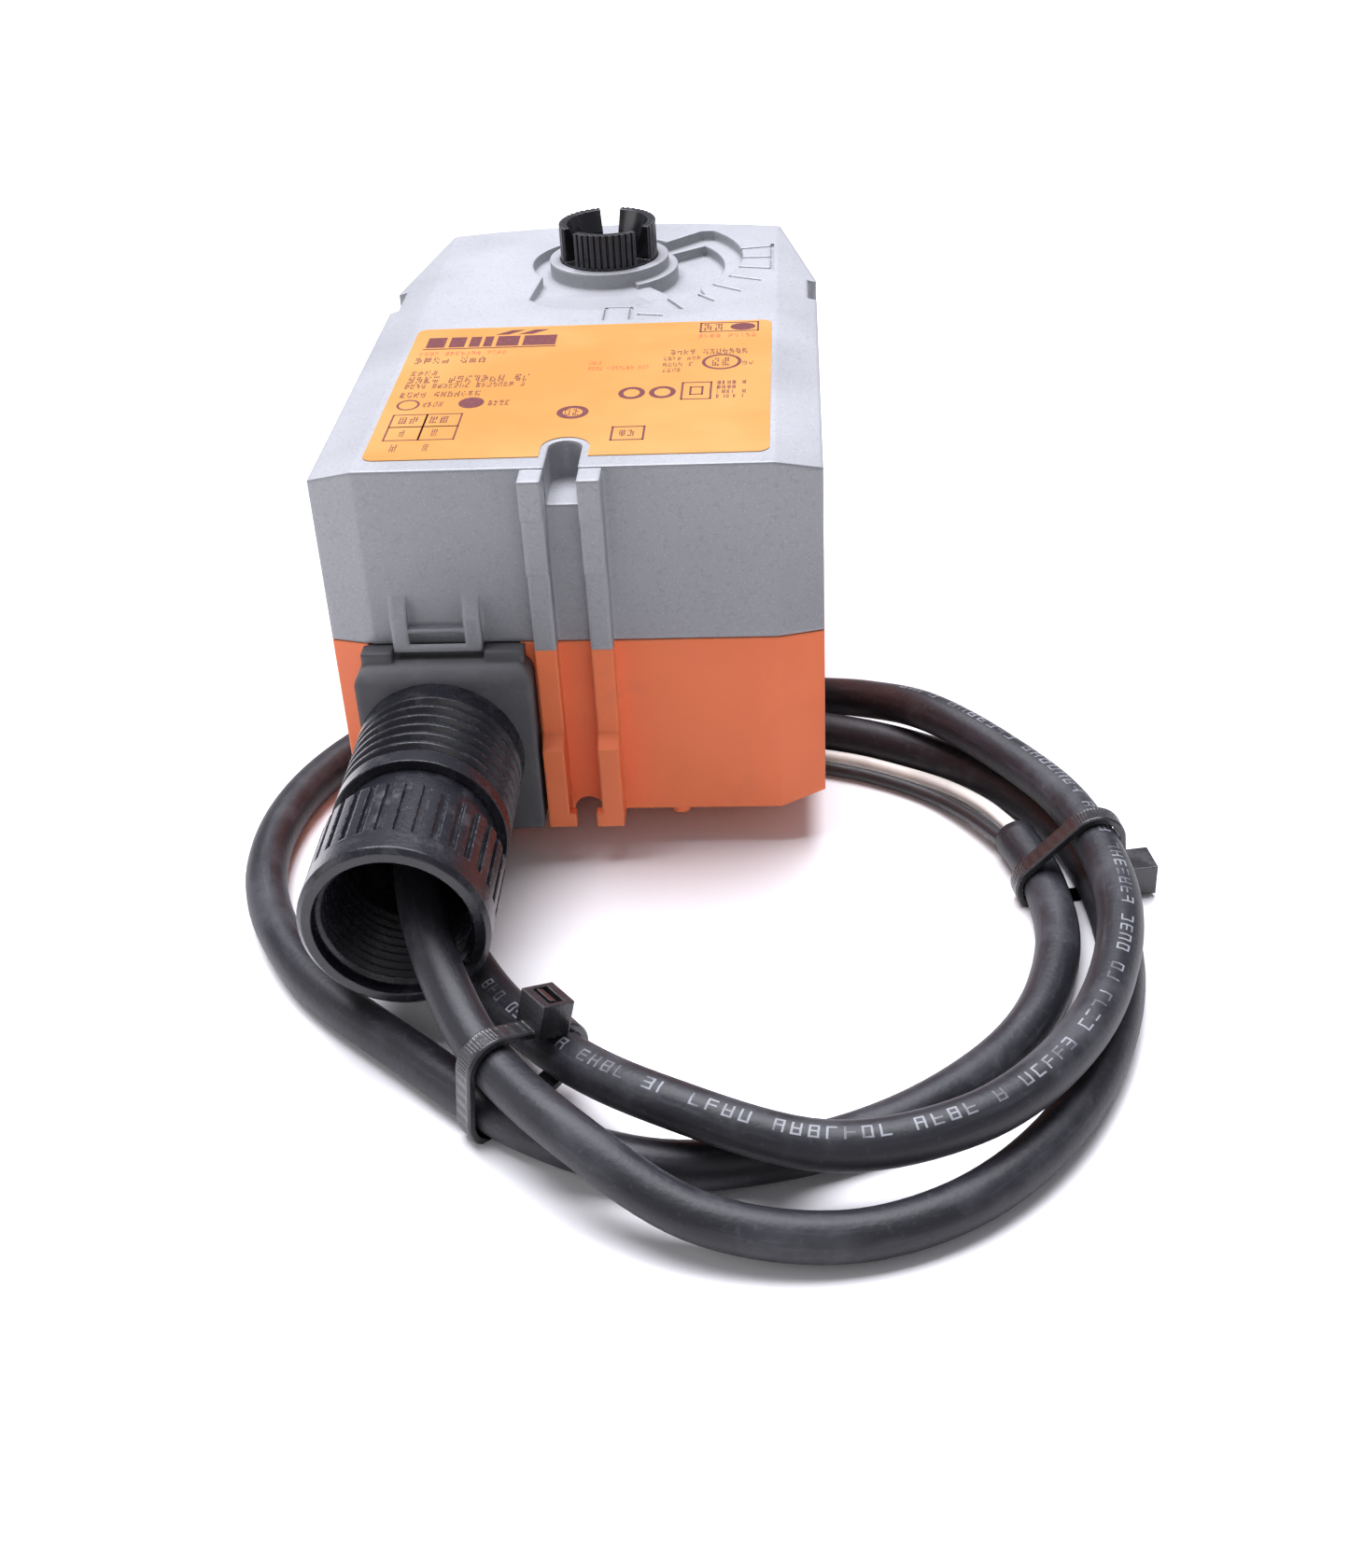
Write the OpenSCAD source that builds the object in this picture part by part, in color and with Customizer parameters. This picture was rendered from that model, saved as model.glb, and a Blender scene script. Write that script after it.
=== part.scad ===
// Spring-return rotary actuator head for a damper shaft, with its conduit fitting and supply cable.
// The origin is on the axis of the output sleeve, at the sleeve's lower end, where the head stands.

/* [Housing] */
// Width of the housing, side to side
body_w = 83; // [78:0.5:100]
// Height of the housing, underside to top
body_h = 65; // [62:0.5:80]
// Height of the lower shell, underside to the parting line
base_h = 33.7; // [32:0.1:38]
// Distance from the output axis to the front face
front_y = 102; // [100:0.5:125]
// Distance from the output axis to the rear corners
rear_y = 19.3; // [19:0.1:26]
// Wall thickness of both shells
wall = 2.2; // [1.8:0.1:2.6]
// Height of the underside above the floor
lift = 7.5; // [7.5:0.1:9]

/* [Output sleeve] */
// Radius of the shaft bore
bore_r = 6.5; // [5:0.1:7]
// Outer radius of the sleeve
sleeve_r = 9.75; // [9:0.05:10.5]
// Height of the upper crown above the top face
crown_out = 8; // [6:0.5:10]
// Outer radius of the collar round the sleeve
collar_r = 12; // [11.8:0.1:13]
// Height of the collar above the top face
collar_out = 1; // [0.5:0.1:2]

/* [Conduit fitting] */
// Sideways place of the conduit fitting
conduit_x = -23.9; // [-25:0.1:-22]
// Height of the conduit fitting above the floor
conduit_z = 22.5; // [22.5:0.1:25]
// Outer radius of the threaded collar
thread_r = 14.3; // [13.5:0.1:14.3]
// Length of the threaded collar
thread_len = 23.7; // [20:0.1:23.7]
// Outer radius of the turning ring
ring_r = 14.7; // [14:0.1:14.7]
// Length of the turning ring
ring_len = 24.7; // [20:0.1:24.7]
// Radius of the ring's mouth
mouth_r = 12.2; // [11.6:0.1:12.2]

/* [Cable] */
// Outer diameter of the supply cable
cable_d = 7.2; // [6:0.1:7.2]
// Outer diameter of one lead
lead_d = 2.5; // [2:0.1:2.5]

/* [Hidden] */

cover_grey = [0.78, 0.80, 0.83];
base_orange = [0.83, 0.33, 0.16];
label_amber = [1.0, 0.68, 0.30];
rubber_black = [0.16, 0.16, 0.17];
part_black = [0.12, 0.12, 0.13];
steel = [0.72, 0.73, 0.75];
brass = [0.80, 0.66, 0.35];

// Teeth and modules of the three reduction stages; the sector is a part of a whole wheel
sector_teeth = 60;
pinion_teeth = 10;
wheel_teeth = 40;
module_out = 1;
module_mid = 0.8;
module_in = 0.6;

// Levels
z_base = lift;
z_part = lift + base_h;
z_top = lift + body_h;
z_collar = z_top + collar_out;
z_crown = z_top + crown_out;

// Plan of the housing
half_w = body_w / 2;
side_end_y = -10;
rear_half = half_w - 7;
rear_bulge = 4.5;
bevel_w = 7.7;
bevel_d = 2.1;
bevel_drop = 2.1;
eps = 0.01;

function arc_pts(r, a0, a1, n, c = [0, 0]) =
    [for (i = [0 : n]) c + r * [cos(a0 + (a1 - a0) * i / n), sin(a0 + (a1 - a0) * i / n)]];

// Plan outline, drawn in by the amount d
function plan_pts(d) = let (
    h = half_w - d,
    f = -front_y + d,
    rh = rear_half - 0.75 * d,
    ry = rear_y - 0.6 * d,
    b = rear_bulge,
    rr = (rh * rh + b * b) / (2 * b),
    half_a = asin(rh / rr))
    concat(
        [[-h, side_end_y], [-h, f + bevel_d], [-h + bevel_w, f], [h - bevel_w, f], [h, f + bevel_d],
            [h, side_end_y]],
        arc_pts(rr, 90 - half_a, 90 + half_a, 8, [0, ry + b - rr]));

// Cross-section of the whole housing, drawn in by the amount d, with bevelled side edges
function section_pts(d) = let (h = half_w - d, lo = z_base + d, hi = z_top - d)
    [[-h + bevel_w, lo], [h - bevel_w, lo], [h, lo + bevel_drop], [h, hi - bevel_drop],
        [h - bevel_w, hi], [-h + bevel_w, hi], [-h, hi - bevel_drop], [-h, lo + bevel_drop]];

module body_block(d) {
    intersection() {
        translate([0, 0, -50]) linear_extrude(200) polygon(plan_pts(d));
        translate([0, 200, 0]) rotate([90, 0, 0]) linear_extrude(400) polygon(section_pts(d));
    }
}

module between(lo, hi) {
    intersection() {
        children();
        translate([-200, -300, lo]) cube([400, 500, hi - lo]);
    }
}

module tube(r_out, r_in, h) {
    difference() {
        cylinder(r = r_out, h = h, $fn = 96);
        translate([0, 0, -1]) cylinder(r = r_in, h = h + 2, $fn = 96);
    }
}

// A cylinder or a tube that points to the front, from y = y0 on
module forward(x, y0, z) {
    translate([x, y0, z]) rotate([90, 0, 0]) children();
}

// Recess round the sleeve
recess_r = 15.5;
recess_depth = 2;
pocket_depth = 4;
sweep_r = 27;
pocket_r = 23.3;
recess_y = 17.5;
sweep_from = -68;
sweep_to = 44;
recess_front = [[-13.9, -22.4], [-12.6, -8], [0, -8], [10, -12], [10, -28.5], [0.7, -29.5], [-9, -27.5]];

module behind_limit() {
    intersection() {
        children();
        translate([-60, -60]) square([120, 60 + recess_y]);
    }
}

module sector_plan(r, a0, a1) polygon(concat([[0, 0]], arc_pts(r, a0, a1, 16)));

module recess_cut() {
    translate([0, 0, z_top - recess_depth]) linear_extrude(20) behind_limit() union() {
        circle(r = recess_r, $fn = 96);
        sector_plan(sweep_r, sweep_from, sweep_to);
    }
    intersection() {
        translate([0, 0, z_top - recess_depth]) linear_extrude(20) polygon(recess_front);
        translate([-40, 0, z_top]) rotate([90, 0, 90]) linear_extrude(80)
            polygon([[-29, 0], [-15, -recess_depth], [0, -recess_depth], [0, 10], [-29, 10]]);
    }
    translate([0, 0, z_top - pocket_depth]) linear_extrude(20) sector_plan(pocket_r, -52, 36);
}

module recess_pan() {
    translate([0, 0, z_top - pocket_depth - wall]) linear_extrude(pocket_depth + wall - eps) union() {
        circle(r = recess_r + wall, $fn = 96);
        sector_plan(sweep_r + wall, sweep_from - 3, sweep_to + 3);
    }
    translate([-16.5, -31, z_top - recess_depth - wall]) cube([28, 31, recess_depth + wall - eps]);
}

// Strap slot in the top front edge, and the rails that guide the strap
slot_w = 5.6;
slot_back = 10.7;
slot_h = 6.4;
rail_in = 2.9;
rail_w = 3.6;
rail_out = 3;
rail_head_out = 5;
rail_head = 7;
rail_step = 17;
prong_out = 5.6;
prong_h = 17.5;

module slot_plan(w, d) {
    translate([0, -front_y + d - w / 2]) circle(r = w / 2, $fn = 48);
    translate([-w / 2, -front_y - 1]) square([w, d - w / 2 + 1]);
}

// Snap frame that hooks over the cable block
snap_x0 = conduit_x - 6.4;
snap_x1 = conduit_x + 8.5;
snap_drop = 0.4;
snap_h = 10;
snap_out = 2;
snap_bar = 2.7;

module snap_frame() {
    translate([snap_x0, -front_y - snap_out, z_part - snap_drop]) difference() {
        union() {
            cube([snap_x1 - snap_x0, snap_out + 0.5, 4.2]);
            for (x = [0, snap_x1 - snap_x0 - snap_bar]) translate([x + snap_bar, snap_out + 0.5, 0])
                rotate([90, 0, -90]) linear_extrude(snap_bar)
                    polygon([[0, 1], [snap_out + 0.5, 1], [snap_out + 0.5, snap_h * 0.6], [0.4, snap_h], [0, snap_h]]);
        }
        translate([snap_bar, -1, 2.4]) rotate([-42, 0, 0]) cube([snap_x1 - snap_x0 - 2 * snap_bar, 4, 3]);
    }
}

module rail(side, x0, z0, z1, out) {
    translate([side > 0 ? x0 : -x0 - rail_w, -front_y - out, z0]) cube([rail_w, out + 0.5, z1 - z0]);
}

module prong(side) {
    translate([side > 0 ? rail_in : -rail_in - rail_w, -front_y, z_base]) rotate([90, 0, 90]) linear_extrude(rail_w)
        polygon([[0.5, 0], [-prong_out, 0], [-prong_out, prong_h - 2], [-rail_out, prong_h], [0.5, prong_h]]);
}

screw_at = [[half_w - 8.5, -front_y + 9], [-half_w + 8.5, -front_y + 16], [rear_half - 6, rear_y - 5.8],
    [-rear_half + 6, rear_y - 5.8]];
boss_r = 3.4;
screw_r = 1.4;
screw_head_r = 2.7;
screw_fit = 0.02;
screw_tip = z_part + 14;
collar_bore = sleeve_r + 0.2;
bush_r = sleeve_r + 1.25;
bush_len = 6;
seal_len = 1.4;
run = 0.05;

// Radial graduation beside the recess
scale_r = sweep_r - 0.3;
scale_edge_x = min(half_w - 8.3, 36);
scale_w = 0.65;
scale_depth = 0.55;

module scale_cut() {
    translate([0, 0, z_top - scale_depth]) linear_extrude(2) {
        for (a = [10 : -12 : -62]) let (r1 = min(34.2, scale_edge_x / cos(a)))
            rotate(a) translate([scale_r, -scale_w / 2]) square([r1 - scale_r, scale_w]);
        translate([scale_edge_x - scale_w, -8]) square([scale_w, 15.5]);
        for (a = [-48, -71]) rotate(a) polygon([[sweep_r - 0.5, -1.7], [sweep_r - 0.5, 1.7], [sweep_r + 3.2, 0]]);
        for (x = [1.3, 6.1]) translate([x, -35]) square([scale_w, 7]);
        translate([1.3, -28]) square([5.2, scale_w]);
        translate([7.6, -32.6]) rotate(-12) square([5, scale_w]);
    }
}

module housing_cover() color(cover_grey) {
    difference() {
        union() {
            difference() {
                between(z_part + 0.25, z_top + 5) body_block(0);
                between(z_part - 1, z_top + 5) body_block(wall);
            }
            intersection() {
                recess_pan();
                body_block(1);
            }
            translate([0, 0, z_top - 12]) cylinder(r = collar_r + 0.8, h = 8, $fn = 96);
            intersection() {
                translate([0, 0, z_top - slot_h - 2]) linear_extrude(slot_h + 1) slot_plan(slot_w + 4, slot_back + 2);
                body_block(1);
            }
            for (p = screw_at) translate([p.x, p.y, z_part]) cylinder(r = boss_r, h = z_top - z_part - 1, $fn = 48);
            for (s = [-1, 1]) {
                rail(s, rail_in, z_part, z_top - rail_step, rail_out);
                rail(s, rail_in, z_top - rail_step, z_top - rail_head, (rail_out + rail_head_out) / 2);
                rail(s, rail_in, z_top - rail_head, z_top - 0.2, rail_head_out);
            }
            snap_frame();
        }
        recess_cut();
        translate([0, 0, z_top - slot_h]) linear_extrude(20) slot_plan(slot_w, slot_back);
        for (p = screw_at) translate([p.x, p.y, z_part - 1]) cylinder(r = screw_r + screw_fit, h = 20, $fn = 48);
        for (s = [-1, 1]) translate([s > 0 ? half_w - 1.7 : -half_w - 4.7, -21.5, z_top - 12]) cube([6.4, 10.5, 20]);
        scale_cut();
        translate([0, 0, z_top - 20]) cylinder(r = collar_bore, h = 40, $fn = 96);
        translate([0, 0, z_top - 20]) cylinder(r = bush_r, h = 20, $fn = 96);
    }
    translate([0, 0, z_top - pocket_depth - 0.1]) tube(collar_r, bush_r, pocket_depth + 0.1);
    translate([0, 0, z_top]) tube(collar_r, collar_bore, collar_out);
    translate([0, 0, z_top - pocket_depth - 0.5]) difference() {
        tube(collar_r + 1.8, collar_r - 0.2, pocket_depth - 0.6);
        rotate(35) translate([-30, 0, -1]) cube([60, 30, 10]);
        rotate(118) translate([-30, 0, -1]) cube([60, 30, 10]);
    }
}

block_x0 = conduit_x - 13.1;
block_x1 = conduit_x + 16.6;
block_lip = 1.8;
block_out = 5.75;
block_gap = 0.15;
y_block = -front_y - block_out;
y_ring = y_block - thread_len;
y_mouth = y_ring - ring_len;

module housing_base() color(base_orange) {
    difference() {
        union() {
            difference() {
                between(z_base - 1, z_part) body_block(0);
                between(z_base - 1, z_part + 1) body_block(wall);
            }
            translate([0, 0, z_base]) cylinder(r = collar_r, h = 9, $fn = 96);
            intersection() {
                for (p = screw_at) translate([p.x, p.y, z_base]) cylinder(r = boss_r, h = base_h, $fn = 48);
                body_block(0.6);
            }
            for (x = [conduit_x + 40, -conduit_x - 40]) translate([x, -front_y + 1.8, z_base - 1.2])
                cylinder(r = 1.6, h = 2, $fn = 48);
            for (s = [-1, 1]) {
                rail(s, rail_in, z_base + prong_h - 1, z_part, rail_out);
                prong(s);
            }
            for (s = [-1, 1]) translate([s * (rail_in + 0.2) - 1.3, -front_y - prong_out, z_base])
                cube([2.6, 2, 2.6]);
        }
        translate([block_x0 + 2, -front_y - 3, z_base + 2.2]) cube([block_x1 - block_x0 - 4, 3 + wall + 1, base_h]);
        translate([0, -front_y + 4, z_base]) rotate([90, 0, 0]) cylinder(r = rail_in - 0.3, h = 6, $fn = 48);
        for (p = screw_at) translate([p.x, p.y, z_base]) {
            translate([0, 0, -1]) cylinder(r = screw_head_r + 0.3, h = 4, $fn = 48);
            translate([0, 0, -1]) cylinder(r = screw_r + 0.3, h = base_h + 2, $fn = 48);
        }
        translate([motor_at.x, motor_at.y, z_floor]) cylinder(r = motor_r + 0.1, h = 20, $fn = 96);
        for (p = pillar_at) translate([p.x, p.y, z_floor]) cylinder(r = pillar_r + 0.05, h = 10, $fn = 48);
        translate([0, 0, z_base - 1]) cylinder(r = collar_bore, h = 5, $fn = 96);
        translate([0, 0, z_base + 1]) cylinder(r = bush_r, h = 20, $fn = 96);
    }
}

seal_w = 1.2;

module housing_seal() color(part_black) {
    difference() {
        between(z_part - 0.6, z_part + 0.6) body_block(wall + 0.05);
        between(z_part - 2, z_part + 2) body_block(wall + 0.05 + seal_w);
        translate([block_x0 - 1, -front_y, z_part - 3]) cube([block_x1 - block_x0 + 2, 8, 6]);
        for (p = screw_at) translate([p.x, p.y, z_part - 3]) cylinder(r = boss_r + 0.2, h = 6, $fn = 48);
    }
}

label_t = 0.15;
label_x0 = -half_w + 8.7;
label_x1 = half_w - 8.5;
label_y0 = -front_y + 4.2;
label_y1 = -37.6;
label_corner = 2;

module rating_label() color(label_amber) {
    translate([0, 0, z_top]) difference() {
        union() {
            translate([label_x0 + label_corner, label_y0, 0])
                cube([label_x1 - label_x0 - 2 * label_corner, label_y1 - label_y0, label_t]);
            translate([label_x0, label_y0 + label_corner, 0])
                cube([label_x1 - label_x0, label_y1 - label_y0 - 2 * label_corner, label_t]);
            for (x = [label_x0 + label_corner, label_x1 - label_corner], y = [label_y0 + label_corner, label_y1 - label_corner])
                translate([x, y, 0]) cylinder(r = label_corner, h = label_t, $fn = 32);
        }
        translate([0, 0, -1]) linear_extrude(3) slot_plan(slot_w + 2.4, slot_back + 1.2);
    }
}

// Splined crown tabs, given as start and end angles
tabs = [[-129, -51], [-28, 76], [104, 208]];
spline_n = 48;
spline_d = 1.3;
lead_in = 4;

module crown_gaps(z0, z1) {
    for (i = [0 : 2]) let (a0 = tabs[i][1], a1 = i < 2 ? tabs[i + 1][0] : tabs[0][0] + 360)
        translate([0, 0, z0]) linear_extrude(z1 - z0)
            polygon([[0, 0], 20 * [cos(a0), sin(a0)], 20 * [cos((a0 + a1) / 2), sin((a0 + a1) / 2)],
                20 * [cos(a1), sin(a1)]]);
}

module toothed(h) linear_extrude(h) polygon([for (i = [0 : spline_n - 1])
    let (p = 360 / spline_n, a = i * p, r = sleeve_r - 0.02)
    each [r * [cos(a - 0.27 * p), sin(a - 0.27 * p)], r * [cos(a + 0.27 * p), sin(a + 0.27 * p)],
        (sleeve_r - spline_d / 2) * [cos(a + 0.5 * p), sin(a + 0.5 * p)]]]);

module output_sleeve() color(part_black) {
    difference() {
        union() {
            translate([0, 0, z_base - 0.3]) cylinder(r = sleeve_r, h = z_collar + 0.6 - z_base, $fn = 96);
            toothed(z_base);
            translate([0, 0, z_collar]) toothed(z_crown - z_collar);
        }
        translate([0, 0, -1]) cylinder(r = bore_r, h = z_crown + 2, $fn = 96);
        translate([0, 0, z_crown - lead_in]) cylinder(r1 = bore_r, r2 = sleeve_r - spline_d / 2 - 0.9, h = lead_in + eps, $fn = 96);
        crown_gaps(z_collar + 0.3, z_crown + 1);
        crown_gaps(-1, z_base - 0.3);
    }
}

module bush(z) translate([0, 0, z]) color(brass) tube(bush_r, sleeve_r + run, bush_len);
module bush_upper() bush(z_top - seal_len - bush_len);
module bush_lower() bush(z_base + 1 + seal_len);
module shaft_seal(z) translate([0, 0, z]) color(rubber_black) tube(bush_r, sleeve_r + run, seal_len);
module shaft_seal_upper() shaft_seal(z_top - seal_len);
module shaft_seal_lower() shaft_seal(z_base + 1);

block_edge = 3.4;
block_corner = 3.2;

module block_shell() intersection() {
    translate([block_x0, -front_y, z_base]) rotate([90, 0, 90]) linear_extrude(block_x1 - block_x0)
        polygon(concat([[0, base_h - block_lip], [0, 0], [-block_out, 0]], [for (a = [180 : -15 : 90])
            [block_edge - block_out, base_h - block_lip - block_edge] + block_edge * [cos(a), sin(a)]]));
    translate([0, -front_y + 1, 0]) rotate([90, 0, 0]) linear_extrude(block_out + 2) hull() {
        for (x = [block_x0 + block_corner, block_x1 - block_corner])
            translate([x, z_part - block_lip - block_corner]) circle(r = block_corner, $fn = 48);
        for (x = [block_x0 + 1, block_x1 - 1]) translate([x, z_base + 1]) circle(r = 1, $fn = 48);
    }
}

module cable_block() color(rubber_black) {
    difference() {
        union() {
            block_shell();
            translate([block_x0 + 1.2, -front_y - 3.2, z_part - block_lip - 1])
                cube([snap_x0 - block_x0 - 1.6, 3.2, block_lip + 0.9]);
            translate([snap_x1 + 0.4, -front_y - 3.2, z_part - block_lip - 1])
                cube([block_x1 - snap_x1 - 1.6, 3.2, block_lip + 0.9]);
            translate([block_x0 + 2 + block_gap, -front_y - 0.1, z_base + 2.2 + block_gap])
                cube([block_x1 - block_x0 - 4 - 2 * block_gap, wall + 0.4, base_h - 2.2 - 2 * block_gap]);
            intersection() {
                translate([block_x0 + 0.5, -front_y + wall + 0.1, z_base + wall + 0.6])
                    cube([block_x1 - block_x0 - 1, 2.4, base_h - wall - 3]);
                body_block(wall + 0.1);
            }
        }
        translate([snap_x0 - 0.2, -front_y - 0.3, z_part - snap_drop - 0.2]) cube([snap_x1 - snap_x0 + 0.4, 1, 5]);
        forward(conduit_x, -front_y + 10, conduit_z) cylinder(r = cable_d / 2 + 1.6, h = 30, $fn = 48);
    }
}

// Threaded collar with its run-out ribs, and a mouth that holds the ring's neck
thread_pitch = 2.8;
thread_n = 6;
neck_r = 12.6;
neck_len = 4.2;

module ring_profile(r_in, r_out, len, grooves, pitch, start, depth) {
    rotate_extrude($fn = 96) polygon(concat([[r_in, 0], [r_out, 0]],
        [for (i = [0 : grooves - 1]) let (y = start + i * pitch)
            each [[r_out, y], [r_out - depth, y + 0.22 * pitch], [r_out - depth, y + 0.6 * pitch],
                [r_out, y + 0.8 * pitch]]],
        [[r_out, len], [r_in, len]]));
}

module conduit_collar() color(part_black) forward(conduit_x, y_block, conduit_z) difference() {
    ring_profile(cable_d / 2 + 1.6, thread_r, thread_len, thread_n, thread_pitch, 4.4, 1.1);
    translate([0, 0, thread_len - 6]) cylinder(r = neck_r + run, h = 10, $fn = 96);
}

knurl_n = 32;
knurl_w = 1.2;
knurl_d = 0.9;
mouth_pitch = 1.9;
mouth_n = 8;
thread_depth = 0.9;
ring_gap = 5.7;

module conduit_ring() color(part_black) forward(conduit_x, y_ring - 0.3, conduit_z) difference() {
    union() {
        translate([0, 0, ring_gap + 0.8]) cylinder(r = ring_r, h = ring_len - 1.9 - ring_gap, $fn = 96);
        translate([0, 0, ring_gap]) cylinder(r1 = ring_r - 0.8, r2 = ring_r, h = 0.8, $fn = 96);
        translate([0, 0, ring_len - 1.1]) cylinder(r1 = ring_r, r2 = ring_r - 0.8, h = 0.8, $fn = 96);
        translate([0, 0, -neck_len]) cylinder(r = neck_r, h = neck_len + ring_gap + 1, $fn = 96);
    }
    translate([0, 0, -neck_len - 1]) cylinder(r = mouth_r - thread_depth, h = ring_len + 10, $fn = 96);
    rotate_extrude($fn = 96) polygon(concat([[5, 6.5]],
        [for (i = [0 : mouth_n - 1]) let (y = 6.5 + i * mouth_pitch)
            each [[mouth_r - thread_depth, y], [mouth_r, y + mouth_pitch / 2]]],
        [[mouth_r - thread_depth, 6.5 + mouth_n * mouth_pitch], [mouth_r, 7 + mouth_n * mouth_pitch], [mouth_r, ring_len - 1.2],
            [mouth_r + 0.5, ring_len + 1], [5, ring_len + 1]]));
    for (i = [0 : knurl_n - 1]) rotate((i + 0.5) * 360 / knurl_n)
        translate([ring_r - knurl_d, -knurl_w / 2, ring_gap - 1]) cube([3, knurl_w, ring_len - 4.5 - ring_gap]);
}

y_gland = -125;

module cable_grommet() color(rubber_black) forward(conduit_x, y_gland + 18, conduit_z)
    rotate_extrude($fn = 64) polygon([[cable_d / 2 - 2.2, 0], [cable_d / 2 + 1.5, 0], [cable_d / 2 + 1.5, 14],
        [cable_d / 2 + 0.9, 18], [cable_d / 2 + 0.12, 18], [cable_d / 2 + 0.12, 9], [cable_d / 2 - 2.2, 9]]);

// Centre lines of the cable and its two leads
cable_route = [
    [-23.9, -117, 22.5], [-23.9, -125, 22.5], [-23.5, -137, 22.5], [-20.5, -150, 20.5], [-15.5, -162, 16], [-8, -174, 12.2],
    [5, -188, 11], [22, -198, 6], [41, -200, 3.9], [58, -194, 3.6], [72, -181, 3.6],
    [82, -163, 3.6], [87, -143, 3.6], [86.5, -122, 3.6], [81.5, -103, 3.6], [71, -88, 3.6],
    [57, -77.5, 3.6], [40, -70.5, 3.6], [14, -64, 3.6], [-12, -70, 3.6], [-27, -89, 3.6],
    [-27, -116, 3.6], [-14, -145, 4], [1, -168, 9], [18, -182, 11.6], [40, -189.5, 10.5],
    [60, -185, 11], [74.5, -172, 11.4], [83.5, -154, 11.4], [87, -133, 11.4], [83, -110, 11.4],
    [73.5, -92.5, 11.4], [61, -77, 11], [50, -65, 7], [38, -57.5, 3.8], [14, -52, 3.6],
    [-15, -52, 3.6], [-39, -65, 3.6], [-54, -89, 3.6], [-55.5, -116, 3.6], [-43.5, -142, 3.6],
    [-22, -163, 3.6], [-3, -178.5, 3.6], [17, -186, 3.6], [38, -183, 3.6], [56, -173.5, 3.6],
    [70.5, -158, 3.6], [77.5, -139, 3.6], [77.5, -121, 3.6], [74, -107, 3.6]];
white_route = [
    [74.3, -106.6, 4.6], [69.8, -97, 3.5], [63.5, -88.5, 2.2], [56, -82.5, 1.4], [47, -78, 1.4],
    [36, -75, 1.4], [22, -73.5, 1.4]];
black_route = [
    [72.2, -107.4, 3.2], [67, -98.5, 2.4], [61, -91, 1.6], [53.5, -85.5, 1.4], [45, -81.5, 1.4],
    [34, -78.5, 1.4], [18, -78, 1.4]];

function spline(p0, p1, p2, p3, t) = 0.5 * (2 * p1 + (p2 - p0) * t + (2 * p0 - 5 * p1 + 4 * p2 - p3) * t * t
    + (3 * p1 - p0 - 3 * p2 + p3) * t * t * t);

// Evenly stepped points along a route, never nearer the floor than its own radius
function route_pts(p, steps, floor_z) = let (n = len(p), last = 2 * p[n - 1] - p[n - 2], first = 2 * p[0] - p[1])
    concat(
        [for (i = [0 : n - 2], k = [0 : steps - 1]) let (
            q = spline(i > 0 ? p[i - 1] : first, p[i], p[i + 1], i < n - 2 ? p[i + 2] : last, k / steps))
            [q.x, q.y, max(q.z, floor_z)]],
        [p[n - 1]]);

module swept_tube(pts, r, sides) {
    n = len(pts);
    dirs = [for (i = [0 : n - 1]) let (v = pts[min(i + 1, n - 1)] - pts[max(i - 1, 0)]) v / norm(v)];
    ring = [for (i = [0 : n - 1]) let (
        s0 = cross(dirs[i], [0, 0, 1]),
        s = s0 / norm(s0),
        u = cross(s, dirs[i]))
        for (k = [0 : sides - 1]) let (a = (k + 0.5) * 360 / sides) pts[i] + r * (cos(a) * s + sin(a) * u)];
    polyhedron(ring, concat(
        [[for (k = [0 : sides - 1]) k]],
        [for (i = [0 : n - 2], k = [0 : sides - 1]) let (a = i * sides + k, b = i * sides + (k + 1) % sides)
            each [[a, a + sides, b], [b, a + sides, b + sides]]],
        [[for (k = [sides - 1 : -1 : 0]) (n - 1) * sides + k]]));
}

cable_sides = 10;

function every_fifth(p) = concat([for (i = [0 : 5 : len(p) - 2]) p[i]], [p[len(p) - 1]]);

module supply_cable() color(rubber_black)
    swept_tube(every_fifth(route_pts(cable_route, 8, cable_d / 2)), cable_d / 2, cable_sides);
module lead_white() color([0.92, 0.90, 0.86]) swept_tube(route_pts(white_route, 3, lead_d / 2), lead_d / 2, 8);
module lead_black() color(part_black) swept_tube(route_pts(black_route, 3, lead_d / 2), lead_d / 2, 8);

// Cable ties: a strap round the strands in an upright plane square to them, and its head
tie_t = 1.2;
tie_w = 3.8;
tie_fit = 0.3;

module tie(at, turn, strands, head) {
    translate(at) rotate([90, 0, turn]) {
        difference() {
            linear_extrude(tie_w, center = true) hull()
                for (s = strands) translate(s) circle(r = cable_d / 2 + tie_fit + tie_t, $fn = 32);
            linear_extrude(tie_w + 2, center = true) hull()
                for (s = strands) translate(s) circle(r = cable_d / 2 + tie_fit, $fn = 32);
            translate([-100, -at.z - 50, -10]) cube([200, 50 + 0.1, 20]);
        }
        translate([head.x, head.y, 0]) rotate(head.z) difference() {
            translate([-2.7, -0.7, -2.9]) cube([5.4, 5.7, 5.8]);
            translate([-1.3, -1, -2.2]) cube([2.6, 8, 4.4]);
        }
    }
}

module cable_tie_front() color(part_black)
    tie([-4, -171, 0], 40, [[-5, 12.2], [5.8, 8.9], [-5.9, 3.6]], [4.2, 14.3, -17]);
module cable_tie_side() color(part_black)
    tie([82, -119, 0], 190, [[-4, 3.6], [-3.4, 11.4], [4.8, 3.6]], [-8.9, 3.4, 90]);

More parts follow.
